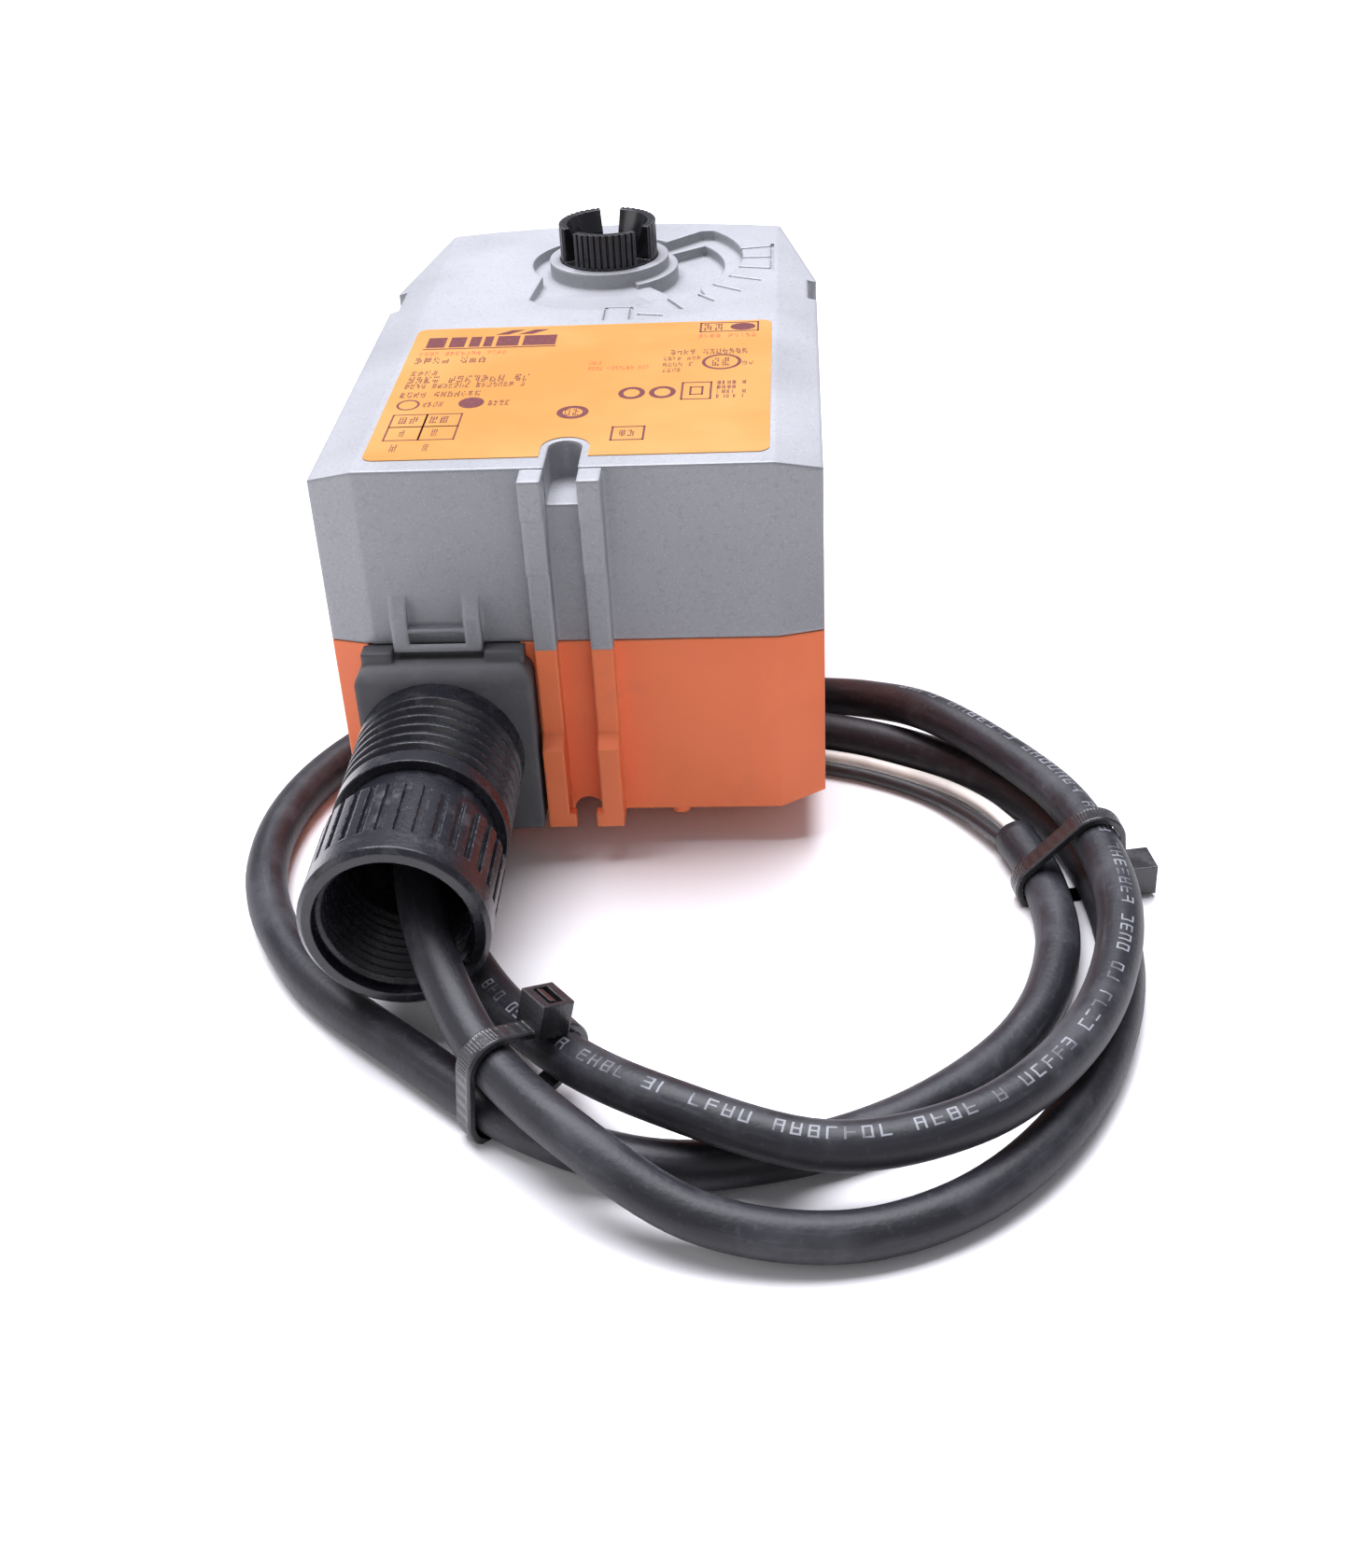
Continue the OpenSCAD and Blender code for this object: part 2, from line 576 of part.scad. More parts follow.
module housing_screws() color(steel) for (p = screw_at) translate([p.x, p.y, z_base]) {
    difference() {
        translate([0, 0, 0.5]) cylinder(r = screw_head_r, h = 2.5, $fn = 48);
        for (a = [0, 90]) rotate(a) translate([-2, -0.35, -1]) cube([4, 0.7, 2.6]);
    }
    translate([0, 0, 3]) cylinder(r = screw_r, h = screw_tip - z_base - 3, $fn = 48);
}

// Involute gears with shortened teeth
pressure = 25;
addendum = 0.8;
dedendum = 1.1;
play = 0.05;

function inv(a) = tan(a) * 180 / PI - a;
function half_tooth(r, rb, rho, z) = 90 / z - play / (2 * r) * 180 / PI + inv(pressure) - inv(acos(rb / rho));

function gear_pts(m, z) = let (
    r = m * z / 2,
    rb = r * cos(pressure),
    rf = r - dedendum * m,
    ra = r + addendum * m,
    r0 = max(rf, rb * 1.0001),
    up = [for (i = [0 : 4]) let (rho = r0 + (ra - r0) * i / 4) [rho, half_tooth(r, rb, rho, z)]],
    half = rf < r0 ? concat([[rf, up[0][1]]], up) : up,
    n = len(half))
    [for (t = [0 : z - 1], k = [0 : 2 * n - 1]) let (
        q = k < n ? half[k] : half[2 * n - 1 - k],
        a = t * 360 / z + (k < n ? -q[1] : q[1]))
        q[0] * [cos(a), sin(a)]];

module wheel(m, z, h) linear_extrude(h) polygon(gear_pts(m, z));

// Places of the gear centres: each stage stands its centre distance from the last
centre_out = module_out * (sector_teeth + pinion_teeth) / 2;
centre_mid = module_mid * (wheel_teeth + pinion_teeth) / 2;
centre_in = module_in * (wheel_teeth + pinion_teeth) / 2;
dir_mid = -30;
dir_in = -53.13;
first_at = [0, -centre_out];
second_at = first_at + centre_mid * [cos(dir_mid), sin(dir_mid)];
motor_at = second_at + centre_in * [cos(dir_in), sin(dir_in)];
z_floor = lift + wall;
z_gear = z_floor + 17.3;
gear_h = 6;
sector_from = -195;
sector_to = -81;
travel = 95;
axle_r = 1.5;
plate_t = 1.2;
z_plate = z_gear - 3;
z_upper = z_gear + 13;
z_mid = z_gear + 7.5;

module sector_gear() color(brass) translate([0, 0, z_gear]) difference() {
    union() {
        intersection() {
            wheel(module_out, sector_teeth, gear_h);
            linear_extrude(gear_h) sector_plan(60, sector_from, sector_to);
        }
        translate([0, 0, -1]) cylinder(r = sleeve_r + 3.2, h = gear_h + 2.5, $fn = 96);
    }
    translate([0, 0, -2]) cylinder(r = sleeve_r, h = gear_h + 10, $fn = 96);
    for (a = [-170, -138, -106]) rotate(a) translate([21, 0, -1]) cylinder(r = 3.4, h = 20, $fn = 48);
}

module gear_first() color([0.90, 0.88, 0.80]) translate([first_at.x, first_at.y, z_gear]) difference() {
    union() {
        rotate(108) wheel(module_out, pinion_teeth, 7.6);
        translate([0, 0, 7.5]) rotate(dir_mid) wheel(module_mid, wheel_teeth, 4);
    }
    translate([0, 0, -1]) cylinder(r = axle_r + run, h = 20, $fn = 48);
}

module gear_second() color([0.90, 0.88, 0.80]) translate([second_at.x, second_at.y, z_gear]) difference() {
    union() {
        rotate(dir_in) wheel(module_in, wheel_teeth, 4);
        rotate(168) translate([0, 0, 3.9]) wheel(module_mid, pinion_teeth, 7.6);
    }
    translate([0, 0, -1]) cylinder(r = axle_r + run, h = 20, $fn = 48);
}

module axle(p) color(steel) translate([p.x, p.y, z_plate]) cylinder(r = axle_r, h = z_upper - z_plate + plate_t, $fn = 48);
module axle_first() axle(first_at);
module axle_second() axle(second_at);

// Motor on the floor of the lower shell, below the lower plate
motor_r = 11.5;
can_h = 12.3;
cap_h = 1.9;
motor_shaft_r = 1;
bearing_r = 3;

module at_motor(z) translate([motor_at.x, motor_at.y, z]) children();

module motor_can() color(steel) at_motor(z_floor) difference() {
    cylinder(r = motor_r, h = can_h, $fn = 96);
    translate([0, 0, 3.2]) cylinder(r = motor_r - 1, h = can_h, $fn = 96);
    translate([0, 0, 1.2]) cylinder(r = bearing_r, h = can_h, $fn = 48);
}
module motor_cap() color(part_black) at_motor(z_floor + can_h) tube(motor_r, bearing_r, cap_h);
module motor_stator() color([0.30, 0.24, 0.20]) at_motor(z_floor + 3.8) tube(motor_r - 1, motor_r - 2.2, 7.4);
module motor_bearing(z) color(brass) at_motor(z) tube(bearing_r, motor_shaft_r + run, cap_h);
module motor_bearing_lower() motor_bearing(z_floor + 1.25);
module motor_bearing_upper() motor_bearing(z_floor + can_h);
module motor_rotor() color([0.35, 0.35, 0.37]) at_motor(z_floor + 1.6) {
    cylinder(r = motor_shaft_r, h = z_gear + 4.6 - z_floor - 1.6, $fn = 48);
    translate([0, 0, 2.2]) tube(motor_r - 2.6, motor_shaft_r, 7.4);
}
module motor_pinion() color(brass) at_motor(z_gear - 0.6) difference() {
    rotate(dir_in + 198) wheel(module_in, pinion_teeth, 5);
    translate([0, 0, -1]) cylinder(r = motor_shaft_r, h = 10, $fn = 48);
}

plate_outline = [[-27, -46], [-27, -37], [-8, -27], [10, -27], [37.6, -37], [37.6, -74], [-6, -66]];
pillar_at = [[-22, -42], [35.8, -42], [35.8, -70.5], [-2, -60]];
pillar_r = 2;
peg_r = 1.2;

module plate_holes() {
    for (p = pillar_at) translate([p.x, p.y, -1]) cylinder(r = peg_r, h = 10, $fn = 32);
    for (p = [first_at, second_at]) translate([p.x, p.y, -1]) cylinder(r = axle_r, h = 10, $fn = 48);
    translate([motor_at.x, motor_at.y, -1]) cylinder(r = bearing_r + 1.5, h = 10, $fn = 48);
}
module gear_plate_lower() color(steel) translate([0, 0, z_plate]) difference() {
    linear_extrude(plate_t) polygon(plate_outline);
    plate_holes();
}

cup_r = 18;
cup_h = 16.5;
cup_t = 1;
arbor_r = sleeve_r + 1.15;

module gear_plate_upper() color(steel) translate([0, 0, z_upper]) difference() {
    union() {
        linear_extrude(plate_t) polygon(plate_outline);
        cylinder(r = cup_r + 1, h = plate_t, $fn = 96);
        translate([-8, -28, 0]) cube([18, 14, plate_t]);
    }
    plate_holes();
    translate([0, 0, -1]) cylinder(r = arbor_r + 1, h = 10, $fn = 96);
}
module plate_pillars() color(steel) for (p = pillar_at) translate([p.x, p.y, 0]) {
    translate([0, 0, z_floor]) cylinder(r = pillar_r, h = z_plate - z_floor, $fn = 48);
    translate([0, 0, z_plate]) cylinder(r = peg_r, h = plate_t, $fn = 32);
    translate([0, 0, z_plate + plate_t]) cylinder(r = pillar_r, h = z_upper - z_plate - plate_t, $fn = 48);
    translate([0, 0, z_upper]) cylinder(r = peg_r, h = plate_t, $fn = 32);
}

// Flat spiral return spring between the arbor on the sleeve and the cup
z_cup = z_upper + plate_t;
spring_turns = 3;
spring_t = 0.7;
spring_w = 11;

function spiral(dr) = let (r0 = arbor_r + 0.1, r1 = cup_r - cup_t - 0.1 - spring_t, n = spring_turns * 24)
    [for (i = [0 : n]) let (a = i * 15) (r0 + (r1 - r0) * i / n + dr) * [cos(a), sin(a)]];

module return_spring() color([0.42, 0.44, 0.48]) translate([0, 0, z_cup + 2.5]) linear_extrude(spring_w) {
    inner = spiral(0);
    outer = spiral(spring_t);
    polygon(concat(inner, [for (i = [len(outer) - 1 : -1 : 0]) outer[i]]));
}
module spring_cup() color(steel) translate([0, 0, z_cup]) {
    tube(cup_r, cup_r - cup_t, cup_h);
    tube(cup_r, arbor_r + 0.8, cup_t);
}
module spring_arbor() color(part_black) translate([0, 0, z_cup + 2]) tube(arbor_r, sleeve_r, spring_w + 1);

stop_r = 2;
stop_at = 26;
stop_gap = asin(stop_r / stop_at) + 0.8;

module end_stop() color(steel) for (a = [sector_from - stop_gap, sector_to + travel + stop_gap]) rotate(a)
    translate([stop_at, 0, z_floor]) {
        cylinder(r = stop_r, h = z_gear + gear_h - z_floor, $fn = 48);
        translate([-stop_r, -stop_r, 0]) cube([2 * stop_r, 2 * stop_r, 3]);
    }

// Circuit board and what is soldered to it
board_t = 1.6;
z_board = z_upper + plate_t + 3;
z_comp = z_board + board_t;
post_at = [[-14, -40], [30, -56], [12, -60]];

module circuit_board() color([0.10, 0.36, 0.20]) translate([0, 0, z_board]) difference() {
    translate([-37, -96, 0]) cube([74, 64, board_t]);
    for (p = screw_at) translate([p.x, p.y, -1]) cylinder(r = boss_r + 1, h = 5, $fn = 48);
    translate([screw_at[0].x, screw_at[0].y - 15, -1]) cube([20, 16 + boss_r, 5]);
    translate([0, -24, -1]) cylinder(r = 14, h = 5, $fn = 96);
}
module board_posts() color(steel) for (p = post_at)
    translate([p.x, p.y, z_cup]) cylinder(r = 2.2, h = z_board - z_cup, $fn = 48);
module capacitor() color([0.20, 0.24, 0.38]) translate([-33, -58, z_comp + 6]) rotate([0, 90, 0]) {
    cylinder(r = 6, h = 17, $fn = 64);
    translate([0, 0, 17]) cylinder(r = 5.2, h = 1, $fn = 64);
}
module transformer() color([0.72, 0.62, 0.28]) translate([10, -62, z_comp]) {
    difference() {
        cube([20, 17, 15]);
        translate([4, -1, 4]) cube([12, 19, 7]);
    }
    translate([3.9, 1, 3.9]) cube([12.2, 15, 7.2]);
}
module relay() color([0.16, 0.30, 0.62]) translate([-8, -84, z_comp]) cube([15, 10, 12]);
module choke() color([0.62, 0.32, 0.12]) translate([23, -78, z_comp]) rotate_extrude($fn = 64)
    translate([3.4, 0]) square([3.8, 5.5]);
module varistor() color([0.15, 0.35, 0.62]) translate([-22, -78, z_comp + 5.5]) rotate([0, 90, 0])
    cylinder(r = 5.5, h = 3.2, $fn = 64);
module terminal_block() color([0.20, 0.48, 0.26]) translate([-22, -95, z_comp]) difference() {
    cube([16, 8, 9]);
    for (x = [4.5, 11.5]) translate([x, 3, 3]) cylinder(r = 1.6, h = 10, $fn = 32);
}

housing_cover();
housing_base();
housing_seal();
rating_label();
output_sleeve();
bush_upper();
bush_lower();
shaft_seal_upper();
shaft_seal_lower();
cable_block();
conduit_collar();
conduit_ring();
cable_grommet();
supply_cable();
lead_white();
lead_black();
cable_tie_front();
cable_tie_side();
housing_screws();
sector_gear();
gear_first();
gear_second();
axle_first();
axle_second();
motor_can();
motor_cap();
motor_stator();
motor_rotor();
motor_pinion();
motor_bearing_lower();
motor_bearing_upper();
gear_plate_lower();
gear_plate_upper();
plate_pillars();
return_spring();
spring_cup();
spring_arbor();
end_stop();
circuit_board();
board_posts();
capacitor();
transformer();
relay();
choke();
varistor();
terminal_block();
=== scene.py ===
import math

import bmesh
import bpy
from mathutils import Matrix, Vector


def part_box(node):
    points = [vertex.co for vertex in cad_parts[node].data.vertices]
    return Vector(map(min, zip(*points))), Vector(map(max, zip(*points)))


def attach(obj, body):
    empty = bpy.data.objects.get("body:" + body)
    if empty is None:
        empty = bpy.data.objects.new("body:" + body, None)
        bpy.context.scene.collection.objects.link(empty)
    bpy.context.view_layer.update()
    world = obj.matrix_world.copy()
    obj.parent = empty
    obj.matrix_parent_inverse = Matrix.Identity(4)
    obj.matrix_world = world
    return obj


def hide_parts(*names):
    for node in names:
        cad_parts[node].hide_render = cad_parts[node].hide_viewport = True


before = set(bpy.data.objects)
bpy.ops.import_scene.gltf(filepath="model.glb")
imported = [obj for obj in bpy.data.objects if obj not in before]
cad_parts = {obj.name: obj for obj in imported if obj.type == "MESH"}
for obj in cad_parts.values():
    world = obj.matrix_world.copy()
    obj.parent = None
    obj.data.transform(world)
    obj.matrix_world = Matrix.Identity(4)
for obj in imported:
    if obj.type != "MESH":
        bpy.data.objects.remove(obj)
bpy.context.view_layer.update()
MM = 0.001


# The view. The head lies on a bench top and is looked down on from the front, a little from the right, with
# a normal lens held at arm's length and tipped over slightly.
turn, dip, roll = math.radians(-4.59), math.radians(33.14), math.radians(-3.32)
ahead = Vector((math.sin(turn) * math.cos(dip), math.cos(turn) * math.cos(dip), -math.sin(dip)))
level = Vector((math.cos(turn), -math.sin(turn), 0.0))
upright = level.cross(ahead)
across = level * math.cos(roll) + upright * math.sin(roll)
upward = upright * math.cos(roll) - level * math.sin(roll)
camera = bpy.data.objects.new("camera", bpy.data.cameras.new("camera"))
bpy.context.scene.collection.objects.link(camera)
eye = Matrix.Translation((0.0376, -0.38128, 0.19535))
camera.matrix_world = eye @ Matrix((across, upward, -ahead)).transposed().to_4x4()
camera.data.lens = 43.99
camera.data.sensor_width = 36.0
camera.data.clip_start = 0.01
bpy.context.scene.camera = camera


# The bench top and its light. A sheet of matt white card carries the head, under one broad soft box
# overhead that leaves the front in half shade, with two weak side panels and pale surroundings.
class Amount:
    """A number on a shader's socket; using it in an expression adds the Math nodes."""

    def __init__(self, finish, socket):
        self.finish, self.socket = finish, socket

    def do(self, operation, *others, clamp=False):
        node = self.finish.node("ShaderNodeMath", {"operation": operation, "use_clamp": clamp},
                                dict(enumerate((self,) + others)))
        return Amount(self.finish, node.outputs[0])

    def __add__(self, other): return self.do("ADD", other)
    def __radd__(self, other): return self.do("ADD", other)
    def __sub__(self, other): return self.do("SUBTRACT", other)
    def __rsub__(self, other): return (self * -1.0) + other
    def __mul__(self, other): return self.do("MULTIPLY", other)
    def __rmul__(self, other): return self.do("MULTIPLY", other)
    def __truediv__(self, other): return self.do("DIVIDE", other)
    def above(self, other): return self.do("GREATER_THAN", other)
    def below(self, other): return self.do("LESS_THAN", other)
    def floor(self): return self.do("FLOOR")
    def fract(self): return self.do("FRACT")
    def clamped(self): return self.do("ADD", 0.0, clamp=True)

    def ramp(self, low, high, to_low=0.0, to_high=1.0):
        """A smooth step from to_low at low to to_high at high."""
        node = self.finish.node("ShaderNodeMapRange", {"interpolation_type": "SMOOTHSTEP", "clamp": True},
                                {"Value": self, "From Min": low, "From Max": high,
                                 "To Min": to_low, "To Max": to_high})
        return Amount(self.finish, node.outputs[0])


class Finish:
    """One surface finish: a Principled shader and the nodes that vary it over the surface."""

    def __init__(self, name, color, roughness, **fixed):
        self.material = bpy.data.materials.new(name)
        self.material.use_nodes = True
        self.material.diffuse_color = (*color, 1.0)
        self.tree = self.material.node_tree
        self.tree.nodes.clear()
        self.shader = self.node("ShaderNodeBsdfPrincipled", {},
                                {"Base Color": (*color, 1.0), "Roughness": roughness, **fixed})
        self.out = self.node("ShaderNodeOutputMaterial", {}, {"Surface": self.shader.outputs[0]})
        self.points = None

    def node(self, kind, settings, inputs):
        node = self.tree.nodes.new(kind)
        for key, value in settings.items():
            setattr(node, key, value)
        for key, value in inputs.items():
            if isinstance(value, Amount):
                value = value.socket
            if isinstance(value, bpy.types.NodeSocket):
                self.tree.links.new(value, node.inputs[key])
            else:
                node.inputs[key].default_value = value
        return node

    def place(self, size=(1.0, 1.0, 1.0)):
        """Each spot in the piece's own axes, scaled by size, so that a small size draws a pattern out."""
        if self.points is None:
            self.points = self.node("ShaderNodeTexCoord", {}, {}).outputs["Object"]
        return self.node("ShaderNodeMapping", {}, {"Vector": self.points, "Scale": size}).outputs[0]

    def noise(self, grain, detail=2.0, rough=0.5, at=None):
        """Even noise from 0 to 1 whose lumps are about grain metres across."""
        node = self.node("ShaderNodeTexNoise", {"noise_dimensions": "3D"},
                         {"Vector": at or self.place(), "Scale": 1.0 / grain, "Detail": detail,
                          "Roughness": rough})
        return Amount(self, node.outputs[0])

    def cells(self, grain):
        """Distance to the nearest of scattered points about grain metres apart."""
        node = self.node("ShaderNodeTexVoronoi", {"feature": "F1"},
                         {"Vector": self.place(), "Scale": 1.0 / grain})
        return Amount(self, node.outputs[0])

    def axis(self, name):
        """One coordinate of each spot, in metres."""
        node = self.node("ShaderNodeSeparateXYZ", {}, {0: self.place()})
        return Amount(self, node.outputs[name])

    def mix(self, share, below, over):
        """Two colours laid one over the other, the upper one by its share."""
        node = self.node("ShaderNodeMix", {"data_type": "RGBA", "blend_type": "MIX", "clamp_factor": True},
                         {0: share, 6: below, 7: over})
        return node.outputs[2]

    def rounded(self, radius):
        """The normal with every edge rounded by radius, and how far each spot is bent by that, from 0 to 1."""
        soft = self.node("ShaderNodeBevel", {"samples": 6}, {"Radius": radius})
        flat = self.node("ShaderNodeNewGeometry", {}, {})
        dot = self.node("ShaderNodeVectorMath", {"operation": "DOT_PRODUCT"},
                        {0: soft.outputs[0], 1: flat.outputs["Normal"]})
        return soft.outputs[0], ((1.0 - Amount(self, dot.outputs["Value"])) * 3.4).clamped()

    def bump(self, height, depth, normal=None):
        """The normal of a surface whose height from 0 to 1 is depth metres deep."""
        inputs = {"Height": height, "Distance": depth, "Strength": 1.0}
        if normal is not None:
            inputs["Normal"] = normal
        return self.node("ShaderNodeBump", {}, inputs).outputs[0]

    def wear(self, color=None, roughness=None, normal=None):
        """Drives the shader's inputs with what varies over the surface, and gives the material."""
        for name, value in (("Base Color", color), ("Roughness", roughness), ("Normal", normal)):
            if value is not None:
                source = value.socket if isinstance(value, Amount) else value
                self.tree.links.new(source, self.shader.inputs[name])
        return self.material


def paint(node, material):
    """Gives a CAD node its finish."""
    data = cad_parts[node].data
    data.materials.clear()
    data.materials.append(material)
    for face in data.polygons:
        face.material_index = 0


card = Finish("white card", (0.90, 0.89, 0.89), 0.55)
card_grain = card.noise(0.0012, 3.0)
card.wear(color=card.mix(card.noise(0.16, 2.0) * 0.25, (0.90, 0.89, 0.89, 1.0), (0.87, 0.86, 0.87, 1.0)),
          normal=card.bump(card_grain, 0.00002))
bench = bpy.data.meshes.new("bench")
bench.from_pydata([(-3, -3, 0), (3, -3, 0), (3, 3, 0), (-3, 3, 0)], [], [(0, 1, 2, 3)])
bench.materials.append(card.material)
bench = bpy.data.objects.new("bench", bench)
bpy.context.scene.collection.objects.link(bench)

surroundings = bpy.data.worlds.new("surroundings")
surroundings.use_nodes = True
surroundings.node_tree.nodes["Background"].inputs[0].default_value = (0.92, 0.93, 1.02, 1.0)
surroundings.node_tree.nodes["Background"].inputs[1].default_value = 0.28
bpy.context.scene.world = surroundings
bpy.context.scene.view_settings.view_transform = "Standard"
bpy.context.scene.view_settings.look = "None"


def soft_box(name, at, aim, width, height, power, tint=(1.0, 1.0, 1.0)):
    """A rectangular area lamp at a place, turned towards aim."""
    lamp = bpy.data.lights.new(name, "AREA")
    lamp.shape, lamp.size, lamp.size_y, lamp.energy, lamp.color = "RECTANGLE", width, height, power, tint
    holder = bpy.data.objects.new(name, lamp)
    bpy.context.scene.collection.objects.link(holder)
    holder.location = at
    holder.rotation_euler = (Vector(aim) - Vector(at)).to_track_quat("-Z", "Y").to_euler()


soft_box("overhead_box", (-0.10, 0.30, 1.25), (0.0, -0.05, 0.0), 1.3, 1.0, 48.0, (0.965, 0.965, 1.045))
soft_box("left_panel", (-1.15, -0.35, 0.55), (0.0, -0.08, 0.04), 0.8, 0.6, 2.8)
soft_box("front_panel", (0.25, -1.35, 0.75), (0.0, -0.08, 0.03), 0.7, 0.6, 1.7)


# The supply cable. A round rubber-sheathed two-core lead of 7.2 mm leaves the grommet inside the conduit
# ring, is wound into a loose coil of one and a half turns beside and under the head, and ends cut back to
# its two cores.
def smooth_route(points, steps, lowest):
    """A smooth line through points given in millimetres, never nearer the bench than lowest."""
    ends = ([[2 * a - b for a, b in zip(points[0], points[1])]] + points
            + [[2 * a - b for a, b in zip(points[-1], points[-2])]])
    line = []
    for p0, p1, p2, p3 in zip(ends, ends[1:], ends[2:], ends[3:]):
        for k in range(steps):
            t = k / steps
            q = [0.5 * (2 * b + (c - a) * t + (2 * a - 5 * b + 4 * c - d) * t * t
                        + (3 * b - a - 3 * c + d) * t ** 3)
                 for a, b, c, d in zip(p0, p1, p2, p3)]
            line.append(Vector((q[0], q[1], max(q[2], lowest))) * MM)
    line.append(Vector(points[-1]) * MM)
    return line


def round_tube(name, line, radius, sides, body, end_dome=0.25):
    """A closed tube along line, its UV map in metres along and turns around."""
    rings, runs, far = [], [], 0.0
    tangent = [(line[min(i + 1, len(line) - 1)] - line[max(i - 1, 0)]).normalized()
               for i in range(len(line))]
    side = tangent[0].cross(Vector((0, 0, 1))).normalized()
    for i, at in enumerate(line):
        side = (side - tangent[i] * side.dot(tangent[i])).normalized()
        rise = tangent[i].cross(side)
        rings.append((at, side.copy(), rise, radius))
        far += (line[i] - line[i - 1]).length if i else 0.0
        runs.append(far)
    shape = bmesh.new()
    loops = shape.loops.layers.uv.new("along")
    rows = []
    for at, aside, rise, wide in rings:
        rows.append([shape.verts.new(at + wide * (math.cos(a) * aside + math.sin(a) * rise))
                     for a in (2 * math.pi * k / sides for k in range(sides))])
    for i in range(len(rows) - 1):
        for k in range(sides):
            after = (k + 1) % sides
            face = shape.faces.new((rows[i][k], rows[i][after], rows[i + 1][after], rows[i + 1][k]))
            corners = (runs[i], k), (runs[i], k + 1), (runs[i + 1], k + 1), (runs[i + 1], k)
            for loop, uv in zip(face.loops, corners):
                loop[loops].uv = (uv[0], uv[1] / sides)
            face.smooth = True
    for row, at, way in ((rows[0], line[0], -tangent[0]), (rows[-1], line[-1], tangent[-1])):
        tip = shape.verts.new(at + way * radius * end_dome)
        for k in range(sides):
            shape.faces.new((row[k], row[(k + 1) % sides], tip))
    bmesh.ops.recalc_face_normals(shape, faces=shape.faces)
    return set_down(name, shape, body)


def set_down(name, shape, body, material=None):
    """Makes a piece of a finished bmesh, in its place, riding on a body."""
    mesh = bpy.data.meshes.new(name)
    shape.to_mesh(mesh)
    shape.free()
    piece = bpy.data.objects.new(name, mesh)
    bpy.context.scene.collection.objects.link(piece)
    if material is not None:
        mesh.materials.append(material)
    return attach(piece, body)


CABLE_D = 7.2
cable_route = [
    [-23.9, -117, 22.5], [-23.9, -125, 22.5], [-23.5, -137, 22.5], [-20.5, -150, 20.5], [-15.5, -162, 16],
    [-8, -174, 12.2], [5, -188, 11], [22, -198, 6], [41, -200, 3.9], [58, -194, 3.6], [72, -181, 3.6],
    [82, -163, 3.6], [87, -143, 3.6], [86.5, -122, 3.6], [81.5, -103, 3.6], [71, -88, 3.6],
    [57, -77.5, 3.6], [40, -70.5, 3.6], [14, -64, 3.6], [-12, -70, 3.6], [-27, -89, 3.6],
    [-27, -116, 3.6], [-14, -145, 4], [1, -168, 9], [18, -182, 11.6], [40, -189.5, 10.5],
    [60, -185, 11], [74.5, -172, 11.4], [83.5, -154, 11.4], [87, -133, 11.4], [83, -110, 11.4],
    [73.5, -92.5, 11.4], [61, -77, 11], [50, -65, 7], [38, -57.5, 3.8], [14, -52, 3.6],
    [-15, -52, 3.6], [-39, -65, 3.6], [-54, -89, 3.6], [-55.5, -116, 3.6], [-43.5, -142, 3.6],
    [-22, -163, 3.6], [-3, -178.5, 3.6], [17, -186, 3.6], [38, -183, 3.6], [56, -173.5, 3.6],
    [70.5, -158, 3.6], [77.5, -139, 3.6], [77.5, -121, 3.6], [74, -107, 3.6]]
cable_line = smooth_route(cable_route, 9, CABLE_D / 2)
cable = round_tube("cable_sheath", cable_line, CABLE_D / 2 * MM, 20, "housing")

sheath = Finish("scuffed black rubber sheath", (0.018, 0.018, 0.023), 0.50, **{"Specular IOR Level": 0.34})
sheath_uv = sheath.node("ShaderNodeUVMap", {"uv_map": "along"}, {}).outputs[0]
sheath_split = sheath.node("ShaderNodeSeparateXYZ", {}, {0: sheath_uv})
run, round_ = Amount(sheath, sheath_split.outputs[0]), Amount(sheath, sheath_split.outputs[1])
stretched = sheath.node("ShaderNodeMapping", {}, {"Vector": sheath_uv, "Scale": (60.0, 14.0, 1.0)})
streaks = sheath.noise(1.0, 4.0, 0.6, stretched.outputs[0])
chalk = (sheath.noise(0.016, 4.0, 0.62).ramp(0.47, 0.72) * 0.55 + streaks.ramp(0.50, 0.78) * 0.4
         + sheath.noise(0.0011, 2.0).ramp(0.60, 0.75) * 0.25).clamped()
# Along the cable in metres: a letter's pitch and the print's repeat; round it in turns: the print's place
# and height.
LETTER_PITCH, PRINT_REPEAT = 0.0024, 0.66
PRINT_FROM, PRINT_TALL = 0.705, 0.088
letter_no = (run / LETTER_PITCH).floor()
across_letter, up_letter = (run / LETTER_PITCH).fract(), (round_ - PRINT_FROM) / PRINT_TALL


def stroke(part, share):
    """One of the five strokes that a letter may have; each letter has its own choice of them."""
    which = sheath.node("ShaderNodeCombineXYZ", {}, {0: letter_no, 1: part}).outputs[0]
    chance = sheath.node("ShaderNodeTexWhiteNoise", {"noise_dimensions": "2D"}, {"Vector": which})
    return Amount(sheath, chance.outputs[0]).below(share)


